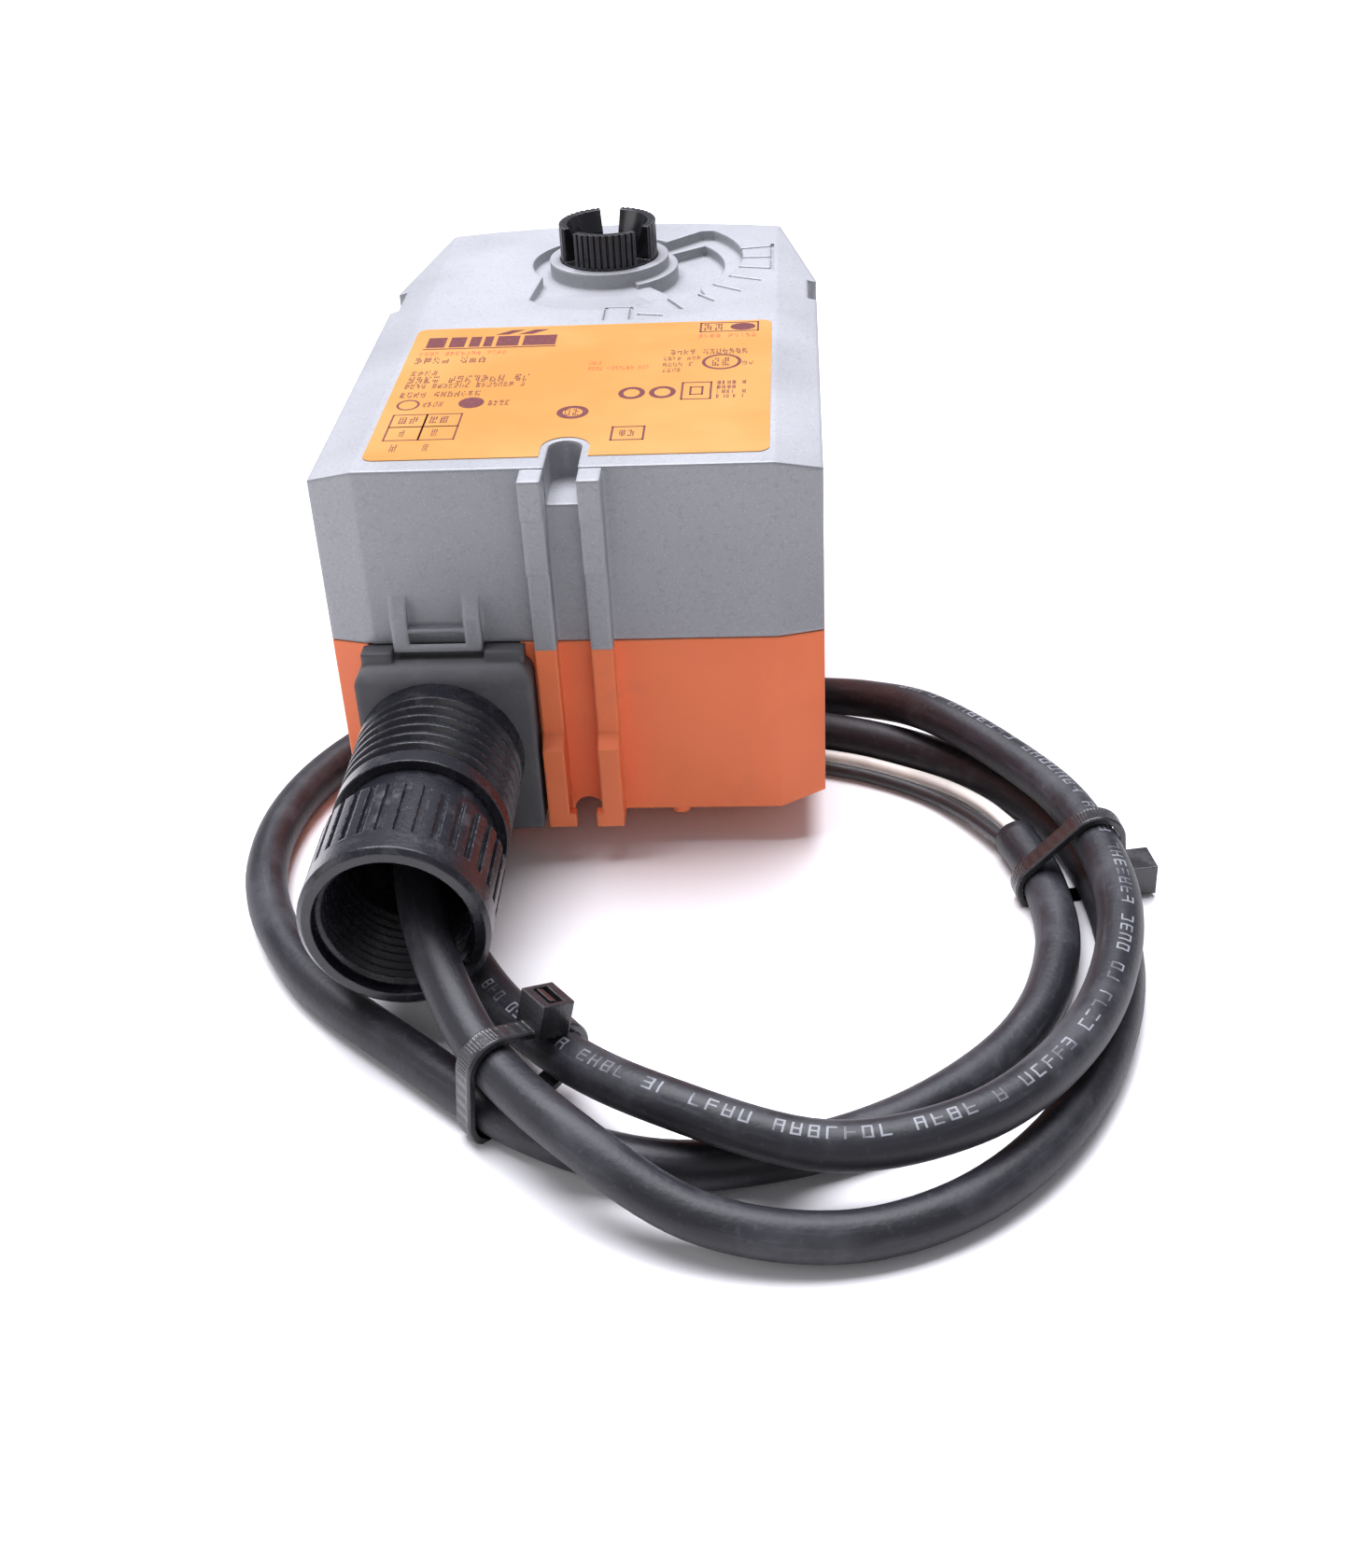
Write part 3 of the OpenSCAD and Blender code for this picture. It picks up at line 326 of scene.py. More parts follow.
upright_strokes = (across_letter.below(0.13) * stroke(1.0, 0.8)
                   + across_letter.above(0.50) * across_letter.below(0.63) * stroke(2.0, 0.65))
level_strokes = (up_letter.above(0.86) * stroke(3.0, 0.7)
                 + up_letter.above(0.43) * up_letter.below(0.56) * stroke(4.0, 0.6)
                 + up_letter.below(0.14) * stroke(5.0, 0.6)) * across_letter.below(0.63)
in_band = up_letter.above(0.0) * up_letter.below(1.0)
in_word = (letter_no * 0.382).fract().above(0.17) * (run / PRINT_REPEAT).fract().above(0.665)
faded = sheath.noise(0.004, 2.0).ramp(0.35, 0.6, 0.25, 0.85)
print_mask = (upright_strokes + level_strokes).clamped() * in_band * in_word * faded
sheath_color = sheath.mix(chalk * 0.46, (0.013, 0.013, 0.017, 1.0), (0.125, 0.127, 0.142, 1.0))
sheath.wear(color=sheath.mix(print_mask * 0.75, sheath_color, (0.34, 0.35, 0.38, 1.0)),
            roughness=chalk * 0.22 + 0.46,
            normal=sheath.bump(sheath.noise(0.0009, 3.0) + streaks * 0.6, 0.00006))
cable.data.materials.append(sheath.material)
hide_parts("supply_cable")


# The two cores. Stranded copper in thin smooth insulation, one white and one black, cut to the same length
# and pushed in under the head; a few millimetres of tinned copper are bared at each end.
def core(name, route, color, body="housing"):
    """One insulated core along a route, with its bared end."""
    line = smooth_route(route, 8, 1.25)
    piece = round_tube(name + "_core", line, 1.25 * MM, 16, body)
    skin = Finish(name + " insulation", color, 0.34)
    grime = skin.noise(0.007, 3.0, 0.6).ramp(0.45, 0.75)
    skin.wear(color=skin.mix(grime * 0.35, (*color, 1.0), (*[c * 0.55 + 0.02 for c in color], 1.0)),
              roughness=grime * 0.25 + 0.32, normal=skin.bump(skin.noise(0.0016, 2.0), 0.00003))
    piece.data.materials.append(skin.material)
    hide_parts(name)
    onward = (line[-1] - line[-2]).normalized()
    bared = [line[-1] + onward * far for far in (-0.001, 0.0005, 0.003)]
    tip = round_tube(name + "_strands", bared, 0.62 * MM, 10, body)
    tip.data.materials.append(tinned.material)


tinned = Finish("tinned copper strands", (0.62, 0.52, 0.42), 0.32, Metallic=1.0)
tinned.wear(roughness=tinned.noise(0.0004).ramp(0.2, 0.8, 0.22, 0.45),
            normal=tinned.bump(tinned.noise(0.0002, 1.0, 0.5, tinned.place((1, 6, 6))), 0.00004))
core("lead_white", [
    [74.3, -106.6, 4.6], [69.8, -97, 3.5], [63.5, -88.5, 2.2], [56, -82.5, 1.4], [47, -78, 1.4],
    [36, -75, 1.4], [22, -73.5, 1.4]], (0.86, 0.84, 0.77))
core("lead_black", [
    [72.2, -107.4, 3.2], [67, -98.5, 2.4], [61, -91, 1.6], [53.5, -85.5, 1.4], [45, -81.5, 1.4],
    [34, -78.5, 1.4], [18, -78, 1.4]], (0.022, 0.022, 0.024))


# The cable ties. Each is one moulding of black nylon: a toothed strap drawn tight round the three strands
# and locked by a pawl in its box-shaped head, where the tail is trimmed off.
nylon = Finish("black nylon", (0.018, 0.018, 0.020), 0.30, **{"Specular IOR Level": 0.6})
nylon_normal, nylon_edge_highlight = nylon.rounded(0.0003)
# The nylon is painted a lighter grey along every rounded edge: a painted highlight.
nylon.wear(color=nylon.mix(nylon_edge_highlight * 0.6, (0.018, 0.018, 0.020, 1.0), (0.075, 0.077, 0.082, 1.0)),
           roughness=nylon.noise(0.003, 3.0).ramp(0.3, 0.8, 0.18, 0.36),
           normal=nylon.bump(nylon.noise(0.0008, 2.0), 0.00003, nylon_normal))


def tie(name, at, heading, strands, head):
    """A strap round the strands in an upright plane at the given heading, and its head."""
    fit, thick, wide = CABLE_D / 2 + 0.3, 1.15, 3.7
    directions, tooth_step = 240, 0.45
    spots = []
    for k in range(directions):
        a = 2 * math.pi * k / directions
        way = Vector((math.cos(a), math.sin(a)))
        held = max(strands, key=lambda s: way.dot(Vector(s)))
        spots.append((Vector(held) + way * fit, way))
    ring = []
    for (p, way), (q, _) in zip(spots, spots[1:] + spots[:1]):
        steps = max(1, round((q - p).length / tooth_step))
        for k in range(steps):
            ring.append((p.lerp(q, k / steps), way))
    matrix = (Matrix.Translation(Vector(at) * MM) @ Matrix.Rotation(math.radians(heading), 4, "Z")
              @ Matrix.Rotation(math.pi / 2, 4, "X"))
    shape = bmesh.new()
    rows = []
    for i, (p, way) in enumerate(ring):
        outer = thick - (0.08 if i % 4 < 2 else 0.0)
        row = [(0.0, -wide / 2), (0.0, wide / 2), (thick - 0.25, wide / 2), (thick, wide / 2 - 0.35),
               (outer, wide / 2 - 0.9), (outer, -wide / 2 + 0.9), (thick, -wide / 2 + 0.35),
               (thick - 0.25, -wide / 2)]
        made = []
        for out, over in row:
            spot = matrix @ (Vector(((p + way * out).x, (p + way * out).y, over)) * MM)
            spot.z = max(spot.z, 0.0001)
            made.append(shape.verts.new(spot))
        rows.append(made)
    for row, after in zip(rows, rows[1:] + rows[:1]):
        for k in range(8):
            shape.faces.new((row[k], row[(k + 1) % 8], after[(k + 1) % 8], after[k]))
    hx, hy, lean = head
    seat = (matrix @ Matrix.Translation(Vector((hx, hy, 0)) * MM)
            @ Matrix.Rotation(math.radians(lean), 4, "Z"))
    outer = [(-2.7, -2.9), (2.7, -2.9), (2.7, 2.9), (-2.7, 2.9)]
    inner = [(-1.3, -2.2), (1.3, -2.2), (1.3, 2.2), (-1.3, 2.2)]
    levels = [[shape.verts.new(seat @ (Vector((x, y, z)) * MM)) for x, z in loop]
              for loop, y in ((outer, -0.5), (outer, 5.0), (inner, 5.0), (inner, 1.3))]
    for low, high in zip(levels, levels[1:]):
        for k in range(4):
            shape.faces.new((low[k], low[(k + 1) % 4], high[(k + 1) % 4], high[k]))
    shape.faces.new(levels[0])
    shape.faces.new(levels[3])
    tail = [shape.verts.new(seat @ (Vector((x, y, z)) * MM)) for x, y, z in (
        (-0.8, 1.4, -1.8), (0.3, 1.4, -1.8), (0.3, 1.4, 1.8), (-0.8, 1.4, 1.8),
        (-0.8, 5.15, -1.8), (0.3, 4.9, -1.8), (0.3, 4.9, 1.8), (-0.8, 5.15, 1.8))]
    for a, b, c, d in ((0, 1, 2, 3), (4, 5, 6, 7), (0, 1, 5, 4), (1, 2, 6, 5), (2, 3, 7, 6), (3, 0, 4, 7)):
        shape.faces.new((tail[a], tail[b], tail[c], tail[d]))
    bmesh.ops.recalc_face_normals(shape, faces=shape.faces)
    piece = set_down(name, shape, "housing", nylon.material)
    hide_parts("cable_" + name)


tie("tie_front", (-4, -171, 0), 40, [(-5, 12.2), (5.8, 8.9), (-5.9, 3.6)], (4.2, 14.3, -17))
tie("tie_side", (82, -119, 0), 190, [(-4, 3.6), (-3.4, 11.4), (4.8, 3.6)], (-8.9, 3.4, 90))


# The lower shell. An orange glass-filled moulding with a spark-eroded matt skin; it holds the motor and the
# gear plates, and the two prongs and the rails on its front locate the anti-rotation strap.
orange = Finish("orange moulded shell", (0.90, 0.182, 0.053), 0.48, **{"Specular IOR Level": 0.4})
orange_normal, orange_edge_highlight = orange.rounded(0.0006)
orange_cloud = orange.noise(0.028, 3.0, 0.55)
orange_soil = orange.noise(0.009, 4.0, 0.65).ramp(0.58, 0.80)
orange_skin = orange.mix(orange_cloud.ramp(0.3, 0.7), (0.86, 0.186, 0.062, 1.0), (0.95, 0.222, 0.080, 1.0))
orange_skin = orange.mix(orange_soil * 0.20, orange_skin, (0.50, 0.19, 0.11, 1.0))
# Every rounded edge of the shell is painted a brighter orange: a painted highlight.
orange.wear(color=orange.mix(orange_edge_highlight * 0.55, orange_skin, (1.0, 0.38, 0.18, 1.0)),
            roughness=orange_cloud.ramp(0.3, 0.7, 0.42, 0.54),
            normal=orange.bump(orange.noise(0.00045, 3.0, 0.6), 0.000035, orange_normal))
paint("housing_base", orange.material)


# The running gear's metal parts: pressed zinc-plated plates on turned pillars, drawn motor can, ground
# axles, hardened stops and self-tapping screws.
def metal(name, color, roughness, grain=(1.0, 1.0, 1.0), stain=(0.35, 0.33, 0.30)):
    """A machined metal with a painted highlight along its edges, its tool marks drawn out by grain, and a few
    stains.
    """
    finish = Finish(name, color, roughness, Metallic=1.0)
    normal, painted_edge_highlight = finish.rounded(0.00025)
    brushed = finish.noise(0.0006, 3.0, 0.6, finish.place(grain))
    stained = finish.noise(0.006, 3.0, 0.6).ramp(0.5, 0.8)
    base = finish.mix(stained * 0.3, (*color, 1.0), (*stain, 1.0))
    return finish.wear(color=finish.mix(painted_edge_highlight * 0.35, base, (0.95, 0.95, 0.95, 1.0)),
                       roughness=brushed.ramp(0.2, 0.8, roughness - 0.08, roughness + 0.12),
                       normal=finish.bump(brushed, 0.00001, normal))


plated = metal("zinc-plated pressing", (0.66, 0.67, 0.69), 0.34, (1.0, 0.12, 1.0))
turned = metal("turned steel", (0.62, 0.62, 0.63), 0.26, (0.3, 0.3, 6.0))
bronze = metal("oiled sintered bronze", (0.62, 0.42, 0.20), 0.42, (1.0, 1.0, 1.0), (0.30, 0.20, 0.10))
brass = metal("hobbed brass", (0.78, 0.58, 0.26), 0.28, (1.0, 1.0, 4.0), (0.40, 0.28, 0.12))
for node in ("gear_plate_lower", "gear_plate_upper", "spring_cup", "motor_can"):
    paint(node, plated)
for node in ("plate_pillars", "board_posts", "axle_first", "axle_second", "end_stop", "housing_screws"):
    paint(node, turned)
for node in ("bush_upper", "bush_lower", "motor_bearing_lower", "motor_bearing_upper"):
    paint(node, bronze)
for node in ("sector_gear", "motor_pinion"):
    paint(node, brass)


# The motor's inside. A ring of dark ferrite glued in the can, a laminated iron rotor on its shaft, and a
# moulded cap that closes the can under the lower plate.
ferrite = Finish("ground ferrite", (0.050, 0.048, 0.048), 0.60)
ferrite.wear(color=ferrite.mix(ferrite.noise(0.002).ramp(0.4, 0.7), (0.040, 0.038, 0.038, 1.0),
                               (0.075, 0.072, 0.070, 1.0)),
             normal=ferrite.bump(ferrite.noise(0.0003), 0.00003))
paint("motor_stator", ferrite.material)
laminated = Finish("laminated iron", (0.30, 0.29, 0.29), 0.45, Metallic=1.0)
sheets = (laminated.axis("Z") / 0.0005).fract()
laminated.wear(color=laminated.mix(sheets.above(0.82) * 0.8, (0.30, 0.29, 0.29, 1.0),
                                   (0.05, 0.05, 0.05, 1.0)),
               normal=laminated.bump(sheets, 0.00002))
paint("motor_rotor", laminated.material)


# The intermediate gears. Hobbed in natural acetal, slightly waxy and translucent, each a wheel and pinion
# in one piece that runs on its axle with a smear of grease in the teeth.
acetal = Finish("natural acetal", (0.80, 0.77, 0.68), 0.30,
                **{"Subsurface Weight": 0.12, "Subsurface Radius": (0.002, 0.0015, 0.001)})
acetal_normal, _ = acetal.rounded(0.0002)
grease = acetal.noise(0.004, 3.0).ramp(0.52, 0.75)
acetal.wear(color=acetal.mix(grease * 0.5, (0.80, 0.77, 0.68, 1.0), (0.66, 0.58, 0.40, 1.0)),
            roughness=grease * -0.14 + 0.32, normal=acetal.bump(acetal.noise(0.0007), 0.000015, acetal_normal))
paint("gear_first", acetal.material)
paint("gear_second", acetal.material)


# The return spring. Flat spring steel wound on the sleeve's arbor inside the pressed cup, blued by its heat
# treatment and lightly oiled.
blued = Finish("blued spring steel", (0.20, 0.22, 0.27), 0.30, Metallic=1.0)
temper = blued.noise(0.012, 2.0)
blued.wear(color=blued.mix(temper.ramp(0.35, 0.65), (0.16, 0.18, 0.25, 1.0), (0.30, 0.26, 0.22, 1.0)),
           roughness=temper.ramp(0.2, 0.8, 0.24, 0.38),
           normal=blued.bump(blued.noise(0.0005, 2.0, 0.5, blued.place((1, 1, 0.1))), 0.00001))
paint("return_spring", blued.material)


# The circuit board and its parts. Glass laminate under green solder resist, with a mains capacitor,
# transformer, relay, wound choke, varistor and a screw terminal block soldered on top.
def moulded(name, color, roughness, grain=0.0005, depth=0.00002):
    """A moulded plastic or rubber with rounded edges, painted paler along them as a painted highlight."""
    finish = Finish(name, color, roughness)
    normal, painted_edge_highlight = finish.rounded(0.0004)
    cloud = finish.noise(0.010, 3.0, 0.6)
    pale_highlight = tuple(min(1.0, c * 1.7 + 0.02) for c in color)
    base = finish.mix(cloud.ramp(0.35, 0.75) * 0.35, (*color, 1.0), (*[c * 0.8 + 0.012 for c in color], 1.0))
    return finish.wear(color=finish.mix(painted_edge_highlight * 0.5, base, (*pale_highlight, 1.0)),
                       roughness=cloud.ramp(0.3, 0.75, roughness - 0.06, roughness + 0.10),
                       normal=finish.bump(finish.noise(grain, 3.0), depth, normal))


resist = Finish("green solder resist", (0.030, 0.19, 0.075), 0.26)
track = resist.node("ShaderNodeTexBrick", {"offset": 0.37, "squash": 1.0},
                    {"Vector": resist.place(), "Scale": 120.0, "Mortar Size": 0.018, "Bias": 0.0})
lanes = Amount(resist, track.outputs["Fac"])
resist.wear(color=resist.mix(lanes, (0.030, 0.19, 0.075, 1.0), (0.060, 0.30, 0.12, 1.0)),
            normal=resist.bump(lanes, 0.00003))
paint("circuit_board", resist.material)
paint("capacitor", moulded("blue shrink sleeve", (0.045, 0.065, 0.17), 0.28))
paint("varistor", moulded("blue epoxy dip", (0.04, 0.13, 0.40), 0.22))
paint("relay", moulded("blue relay case", (0.03, 0.10, 0.34), 0.34))
paint("terminal_block", moulded("green terminal moulding", (0.05, 0.24, 0.09), 0.42))
paint("transformer", moulded("taped winding and varnished core", (0.52, 0.40, 0.10), 0.45, 0.0012, 0.00004))


def tree_of(name, inputs):
    """A new Geometry Nodes tree with the named inputs, and a short way to add its nodes."""
    tree = bpy.data.node_groups.new(name, "GeometryNodeTree")
    tree.interface.new_socket("Geometry", in_out="OUTPUT", socket_type="NodeSocketGeometry")
    for label, kind in inputs:
        tree.interface.new_socket(label, in_out="INPUT", socket_type=kind)
    start = tree.nodes.new("NodeGroupInput")

    def add(kind, settings, sockets):
        node = tree.nodes.new(kind)
        for key, value in settings.items():
            setattr(node, key, value)
        for key, value in sockets.items():
            if isinstance(value, bpy.types.NodeSocket):
                tree.links.new(value, node.inputs[key])
            else:
                node.inputs[key].default_value = value
        return node

    def close(geometry, material):
        real = add("GeometryNodeRealizeInstances", {}, {"Geometry": geometry})
        dressed = add("GeometryNodeSetMaterial", {}, {"Geometry": real.outputs[0], "Material": material})
        end = tree.nodes.new("NodeGroupOutput")
        tree.links.new(dressed.outputs[0], end.inputs[0])
        return tree

    return start.outputs, add, close


def grown(tree, values):
    """The mesh that a tree gives with these input values."""
    holder = bpy.data.objects.new(tree.name, bpy.data.meshes.new(tree.name))
    bpy.context.scene.collection.objects.link(holder)
    grower = holder.modifiers.new("grower", "NODES")
    grower.node_group = tree
    for item in tree.interface.items_tree:
        if item.in_out == "INPUT" and item.name in values:
            grower[item.identifier] = values[item.name]
    bpy.context.view_layer.update()
    whole = holder.evaluated_get(bpy.context.evaluated_depsgraph_get())
    mesh = bpy.data.meshes.new_from_object(whole)
    holder.modifiers.remove(grower)
    bpy.data.objects.remove(holder)
    return mesh


# The choke is a ring core wound with enamelled copper: the turns stand side by side round the ring.
copper = metal("enamelled copper", (0.62, 0.24, 0.08), 0.24, (1.0, 1.0, 1.0), (0.35, 0.12, 0.04))
low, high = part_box("choke")
ring_r, wire_r, rise = (high.x - low.x) / 2, 0.0005, high.z - low.z
sockets, add, close = tree_of("choke_winding", [
    ("Turns", "NodeSocketInt"), ("Ring radius", "NodeSocketFloat"), ("Turn height", "NodeSocketFloat"),
    ("Turn depth", "NodeSocketFloat"), ("Wire radius", "NodeSocketFloat")])
posts = add("GeometryNodeMeshCircle", {}, {"Vertices": sockets["Turns"], "Radius": sockets["Ring radius"]})
loop_line = add("GeometryNodeCurvePrimitiveQuadrilateral", {"mode": "RECTANGLE"},
                {"Width": sockets["Turn depth"], "Height": sockets["Turn height"]})
loop_soft = add("GeometryNodeFilletCurve", {"mode": "POLY"},
                {"Curve": loop_line.outputs[0], "Radius": 0.0009, "Count": 3})
wire = add("GeometryNodeCurvePrimitiveCircle", {"mode": "RADIUS"},
           {"Resolution": 6, "Radius": sockets["Wire radius"]})
turn_mesh = add("GeometryNodeCurveToMesh", {},
                {"Curve": loop_soft.outputs[0], "Profile Curve": wire.outputs[0]})
stood = add("GeometryNodeTransform", {},
            {"Geometry": turn_mesh.outputs[0], "Rotation": (math.pi / 2, 0.0, 0.0)})
spot = add("GeometryNodeInputPosition", {}, {})
facing = add("FunctionNodeAlignRotationToVector", {"axis": "X"}, {"Vector": spot.outputs[0]})
wound = add("GeometryNodeInstanceOnPoints", {},
            {"Points": posts.outputs[0], "Instance": stood.outputs[0], "Rotation": facing.outputs[0]})
winding = grown(close(wound.outputs[0], copper), {
    "Turns": 30, "Ring radius": ring_r - 0.0020, "Turn height": rise - 2 * wire_r - 0.0001,
    "Turn depth": 0.0028, "Wire radius": wire_r})
winding.transform(Matrix.Translation((low + high) / 2))
choke = bpy.data.objects.new("choke_winding", winding)
bpy.context.scene.collection.objects.link(choke)
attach(choke, "housing")
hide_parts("choke")


# The upper shell. A die-cast lid under a coat of silver-grey paint with a fine sparkle; its edges and slot rim
# are lighter, partly rubbed paint and partly a painted highlight, and four screws from below draw it down on
# the lower shell.
silver = Finish("silver-grey paint", (0.298, 0.305, 0.338), 0.44, Metallic=0.12,
                **{"Specular IOR Level": 0.5})
silver_normal, silver_edge_rub_and_highlight = silver.rounded(0.0011)
flake = silver.cells(0.00050)
fleck = silver.noise(0.00080, 2.0, 0.7)
silver_cloud = silver.noise(0.035, 3.0, 0.5)
silver_base = silver.mix(silver_cloud.ramp(0.3, 0.7), (0.288, 0.292, 0.308, 1.0), (0.326, 0.330, 0.346, 1.0))
silver_base = silver.mix(fleck.ramp(0.52, 0.72) * 0.30, silver_base, (0.17, 0.175, 0.195, 1.0))
silver_base = silver.mix(flake.below(0.20) * 0.45, silver_base, (0.50, 0.51, 0.54, 1.0))
silver_soil = silver.noise(0.007, 4.0, 0.65).ramp(0.62, 0.82)
silver_base = silver.mix(silver_soil * 0.22, silver_base, (0.20, 0.20, 0.215, 1.0))
# Every edge is painted lighter, partly as rubbed paint and partly as a painted highlight.
silver.wear(color=silver.mix(silver_edge_rub_and_highlight * 0.5, silver_base, (0.50, 0.51, 0.54, 1.0)),
            roughness=silver_cloud.ramp(0.3, 0.7, 0.40, 0.50),
            normal=silver.bump(fleck * 0.6 + silver.noise(0.00035, 2.0) * 0.4, 0.000045, silver_normal))
paint("housing_cover", silver.material)
gasket = moulded("foam gasket", (0.020, 0.020, 0.022), 0.75, 0.0006, 0.00006)
paint("housing_seal", gasket)


# The rating label. Amber film printed in dark red with plain bars, boxes and rings that stand for its lines
# of print, laid in the flat of the lid and cut round the strap slot.
film = Finish("amber label film", (0.57, 0.272, 0.060), 0.38, **{"Coat Weight": 0.12, "Coat Roughness": 0.25})
film_fade = film.noise(0.030, 3.0, 0.55)
film_rub = film.noise(0.0035, 4.0, 0.7).ramp(0.66, 0.80)
film_color = film.mix(film_fade.ramp(0.3, 0.7), (0.46, 0.205, 0.044, 1.0), (0.50, 0.235, 0.058, 1.0))
film.wear(color=film.mix(film_rub * 0.55, film_color, (0.54, 0.38, 0.20, 1.0)),
          roughness=film_fade.ramp(0.3, 0.7, 0.30, 0.44),
          normal=film.bump(film.noise(0.0022, 3.0), 0.00003))
paint("rating_label", film.material)

ink = Finish("dark red print", (0.110, 0.020, 0.022), 0.42)
ink_thin = ink.noise(0.0008, 3.0, 0.7)
ink.wear(color=ink.mix(ink_thin.ramp(0.50, 0.75) * 0.4, (0.105, 0.018, 0.022, 1.0),
                       (0.28, 0.090, 0.045, 1.0)),
         normal=ink.bump(ink_thin, 0.00001))
scarlet = Finish("bright red print", (0.52, 0.060, 0.030), 0.42)
scarlet.wear(color=scarlet.mix(scarlet.noise(0.0008, 3.0, 0.7).ramp(0.4, 0.7) * 0.5, (0.52, 0.060, 0.030, 1.0),
                               (0.62, 0.16, 0.05, 1.0)))

sockets, add, close = tree_of("print_marks", [
    ("Length", "NodeSocketFloat"), ("Depth", "NodeSocketFloat"), ("Columns", "NodeSocketInt"),
    ("Rows", "NodeSocketInt"), ("Share", "NodeSocketFloat"), ("Fill", "NodeSocketFloat"),
    ("Seed", "NodeSocketInt")])
field = add("GeometryNodeMeshGrid", {}, {"Size X": sockets["Length"], "Size Y": sockets["Depth"],
                                         "Vertices X": sockets["Columns"], "Vertices Y": sockets["Rows"]})
kept = add("FunctionNodeRandomValue", {"data_type": "BOOLEAN"},
           {"Probability": sockets["Share"], "Seed": sockets["Seed"]})
index = add("GeometryNodeInputIndex", {}, {})


def worked(operation, a, b):
    """The result of one sum on two sockets or numbers."""
    return add("ShaderNodeMath", {"operation": operation}, {0: a, 1: b}).outputs[0]


column = worked("FLOOR", worked("DIVIDE", index.outputs[0], sockets["Rows"]), 0.0)
in_letter = worked("LESS_THAN", worked("MODULO", column, 4.0), 2.5)
letter_no = worked("FLOOR", worked("DIVIDE", column, 4.0), 0.0)
in_phrase = worked("GREATER_THAN", worked("FRACT", worked("MULTIPLY_ADD", letter_no, 0.382), 0.0), 0.17)
shown = worked("MULTIPLY", kept.outputs[3], worked("MULTIPLY", in_letter, in_phrase))
pitch = add("ShaderNodeMath", {"operation": "DIVIDE"}, {0: sockets["Length"], 1: sockets["Columns"]})
mark_x = add("ShaderNodeMath", {"operation": "MULTIPLY"}, {0: pitch.outputs[0], 1: sockets["Fill"]})
gap_y = add("ShaderNodeMath", {"operation": "DIVIDE"}, {0: sockets["Depth"], 1: sockets["Rows"]})
mark = add("GeometryNodeMeshGrid", {}, {"Size X": mark_x.outputs[0], "Size Y": gap_y.outputs[0],
                                        "Vertices X": 2, "Vertices Y": 2})
low_scale = add("FunctionNodeRandomValue", {"data_type": "FLOAT_VECTOR"},
                {0: (0.55, 0.85, 1.0), 1: (1.05, 1.10, 1.0), "Seed": sockets["Seed"]})
marks = add("GeometryNodeInstanceOnPoints", {},
            {"Points": field.outputs[0], "Selection": shown, "Instance": mark.outputs[0],
             "Scale": low_scale.outputs[0]})
print_tree = close(marks.outputs[0], ink.material)

low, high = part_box("rating_label")
label_w, label_d, ink_z = high.x - low.x, high.y - low.y, high.z + 0.00002
label_print = bmesh.new()


def on_label(u, v):
    """A spot on the label, u from left to right and v from front to back, each 0 to 1."""
    return Vector((low.x + u * label_w, low.y + v * label_d, ink_z))


def line_of_print(u0, u1, v, tall, letters, seed, share=0.86, shade=0):
    """A line of small marks in four rows, grouped like type that is too small to read."""
    before = len(label_print.faces)
    mesh = grown(print_tree, {
        "Length": (u1 - u0) * label_w, "Depth": tall * MM, "Columns": letters * 4, "Rows": 4,
        "Share": share * 0.80, "Fill": 0.86, "Seed": seed})
    mesh.transform(Matrix.Translation(on_label((u0 + u1) / 2, v)))
    label_print.from_mesh(mesh)
    label_print.faces.ensure_lookup_table()
    for face in label_print.faces[before:]:
        face.material_index = shade
    bpy.data.meshes.remove(mesh)


def bar(u0, v0, u1, v1, lean=0.0):
    """A filled bar, its far edge moved sideways by lean."""
    spots = [on_label(u0, v0), on_label(u1, v0), on_label(u1 + lean, v1), on_label(u0 + lean, v1)]
    return label_print.faces.new([label_print.verts.new(p) for p in spots])


def box_of_lines(u0, v0, u1, v1, thick=0.30):
    """A rectangle drawn with four thin bars."""
    tu, tv = thick * MM / label_w, thick * MM / label_d
    for a, b, c, d in ((u0, v0, u1, v0 + tv), (u0, v1 - tv, u1, v1),
                       (u0, v0, u0 + tu, v1), (u1 - tu, v0, u1, v1)):
        bar(a, b, c, d)


def oval(u, v, wide, deep, thick=0.4, filled=False):
    """An oval ring, or a filled oval, wide by deep millimetres."""
    steps = 28
    spot = on_label(u, v)
    rings = [[label_print.verts.new(spot + Vector(((wide / 2 - inset) * MM * math.cos(a),
                                                   (deep / 2 - inset) * MM * math.sin(a), 0)))
              for a in (2 * math.pi * k / steps for k in range(steps))] for inset in (0.0, thick)]
    for k in range(steps):
        after = (k + 1) % steps
        label_print.faces.new((rings[0][k], rings[0][after], rings[1][after], rings[1][k]))
    if filled:
        label_print.faces.new(rings[1])


for k, u in enumerate((0.040, 0.104, 0.160, 0.200, 0.236, 0.310)):
    wide = (0.052, 0.044, 0.030, 0.024, 0.062, 0.092)[k]
    bar(u, 0.838, u + wide, 0.922)
bar(0.225, 0.935, 0.262, 0.972, 0.045)
bar(0.290, 0.935, 0.330, 0.972, 0.045)
bar(0.035, 0.822, 0.405, 0.829)
line_of_print(0.032, 0.275, 0.785, 1.5, 17, 3, shade=1)
line_of_print(0.030, 0.225, 0.730, 2.3, 8, 5)
line_of_print(0.034, 0.105, 0.628, 1.7, 4, 7)
line_of_print(0.034, 0.360, 0.575, 2.4, 15, 9)
line_of_print(0.032, 0.352, 0.525, 1.6, 22, 11)
line_of_print(0.030, 0.260, 0.460, 1.9, 13, 13)
oval(0.060, 0.385, 4.0, 4.6)
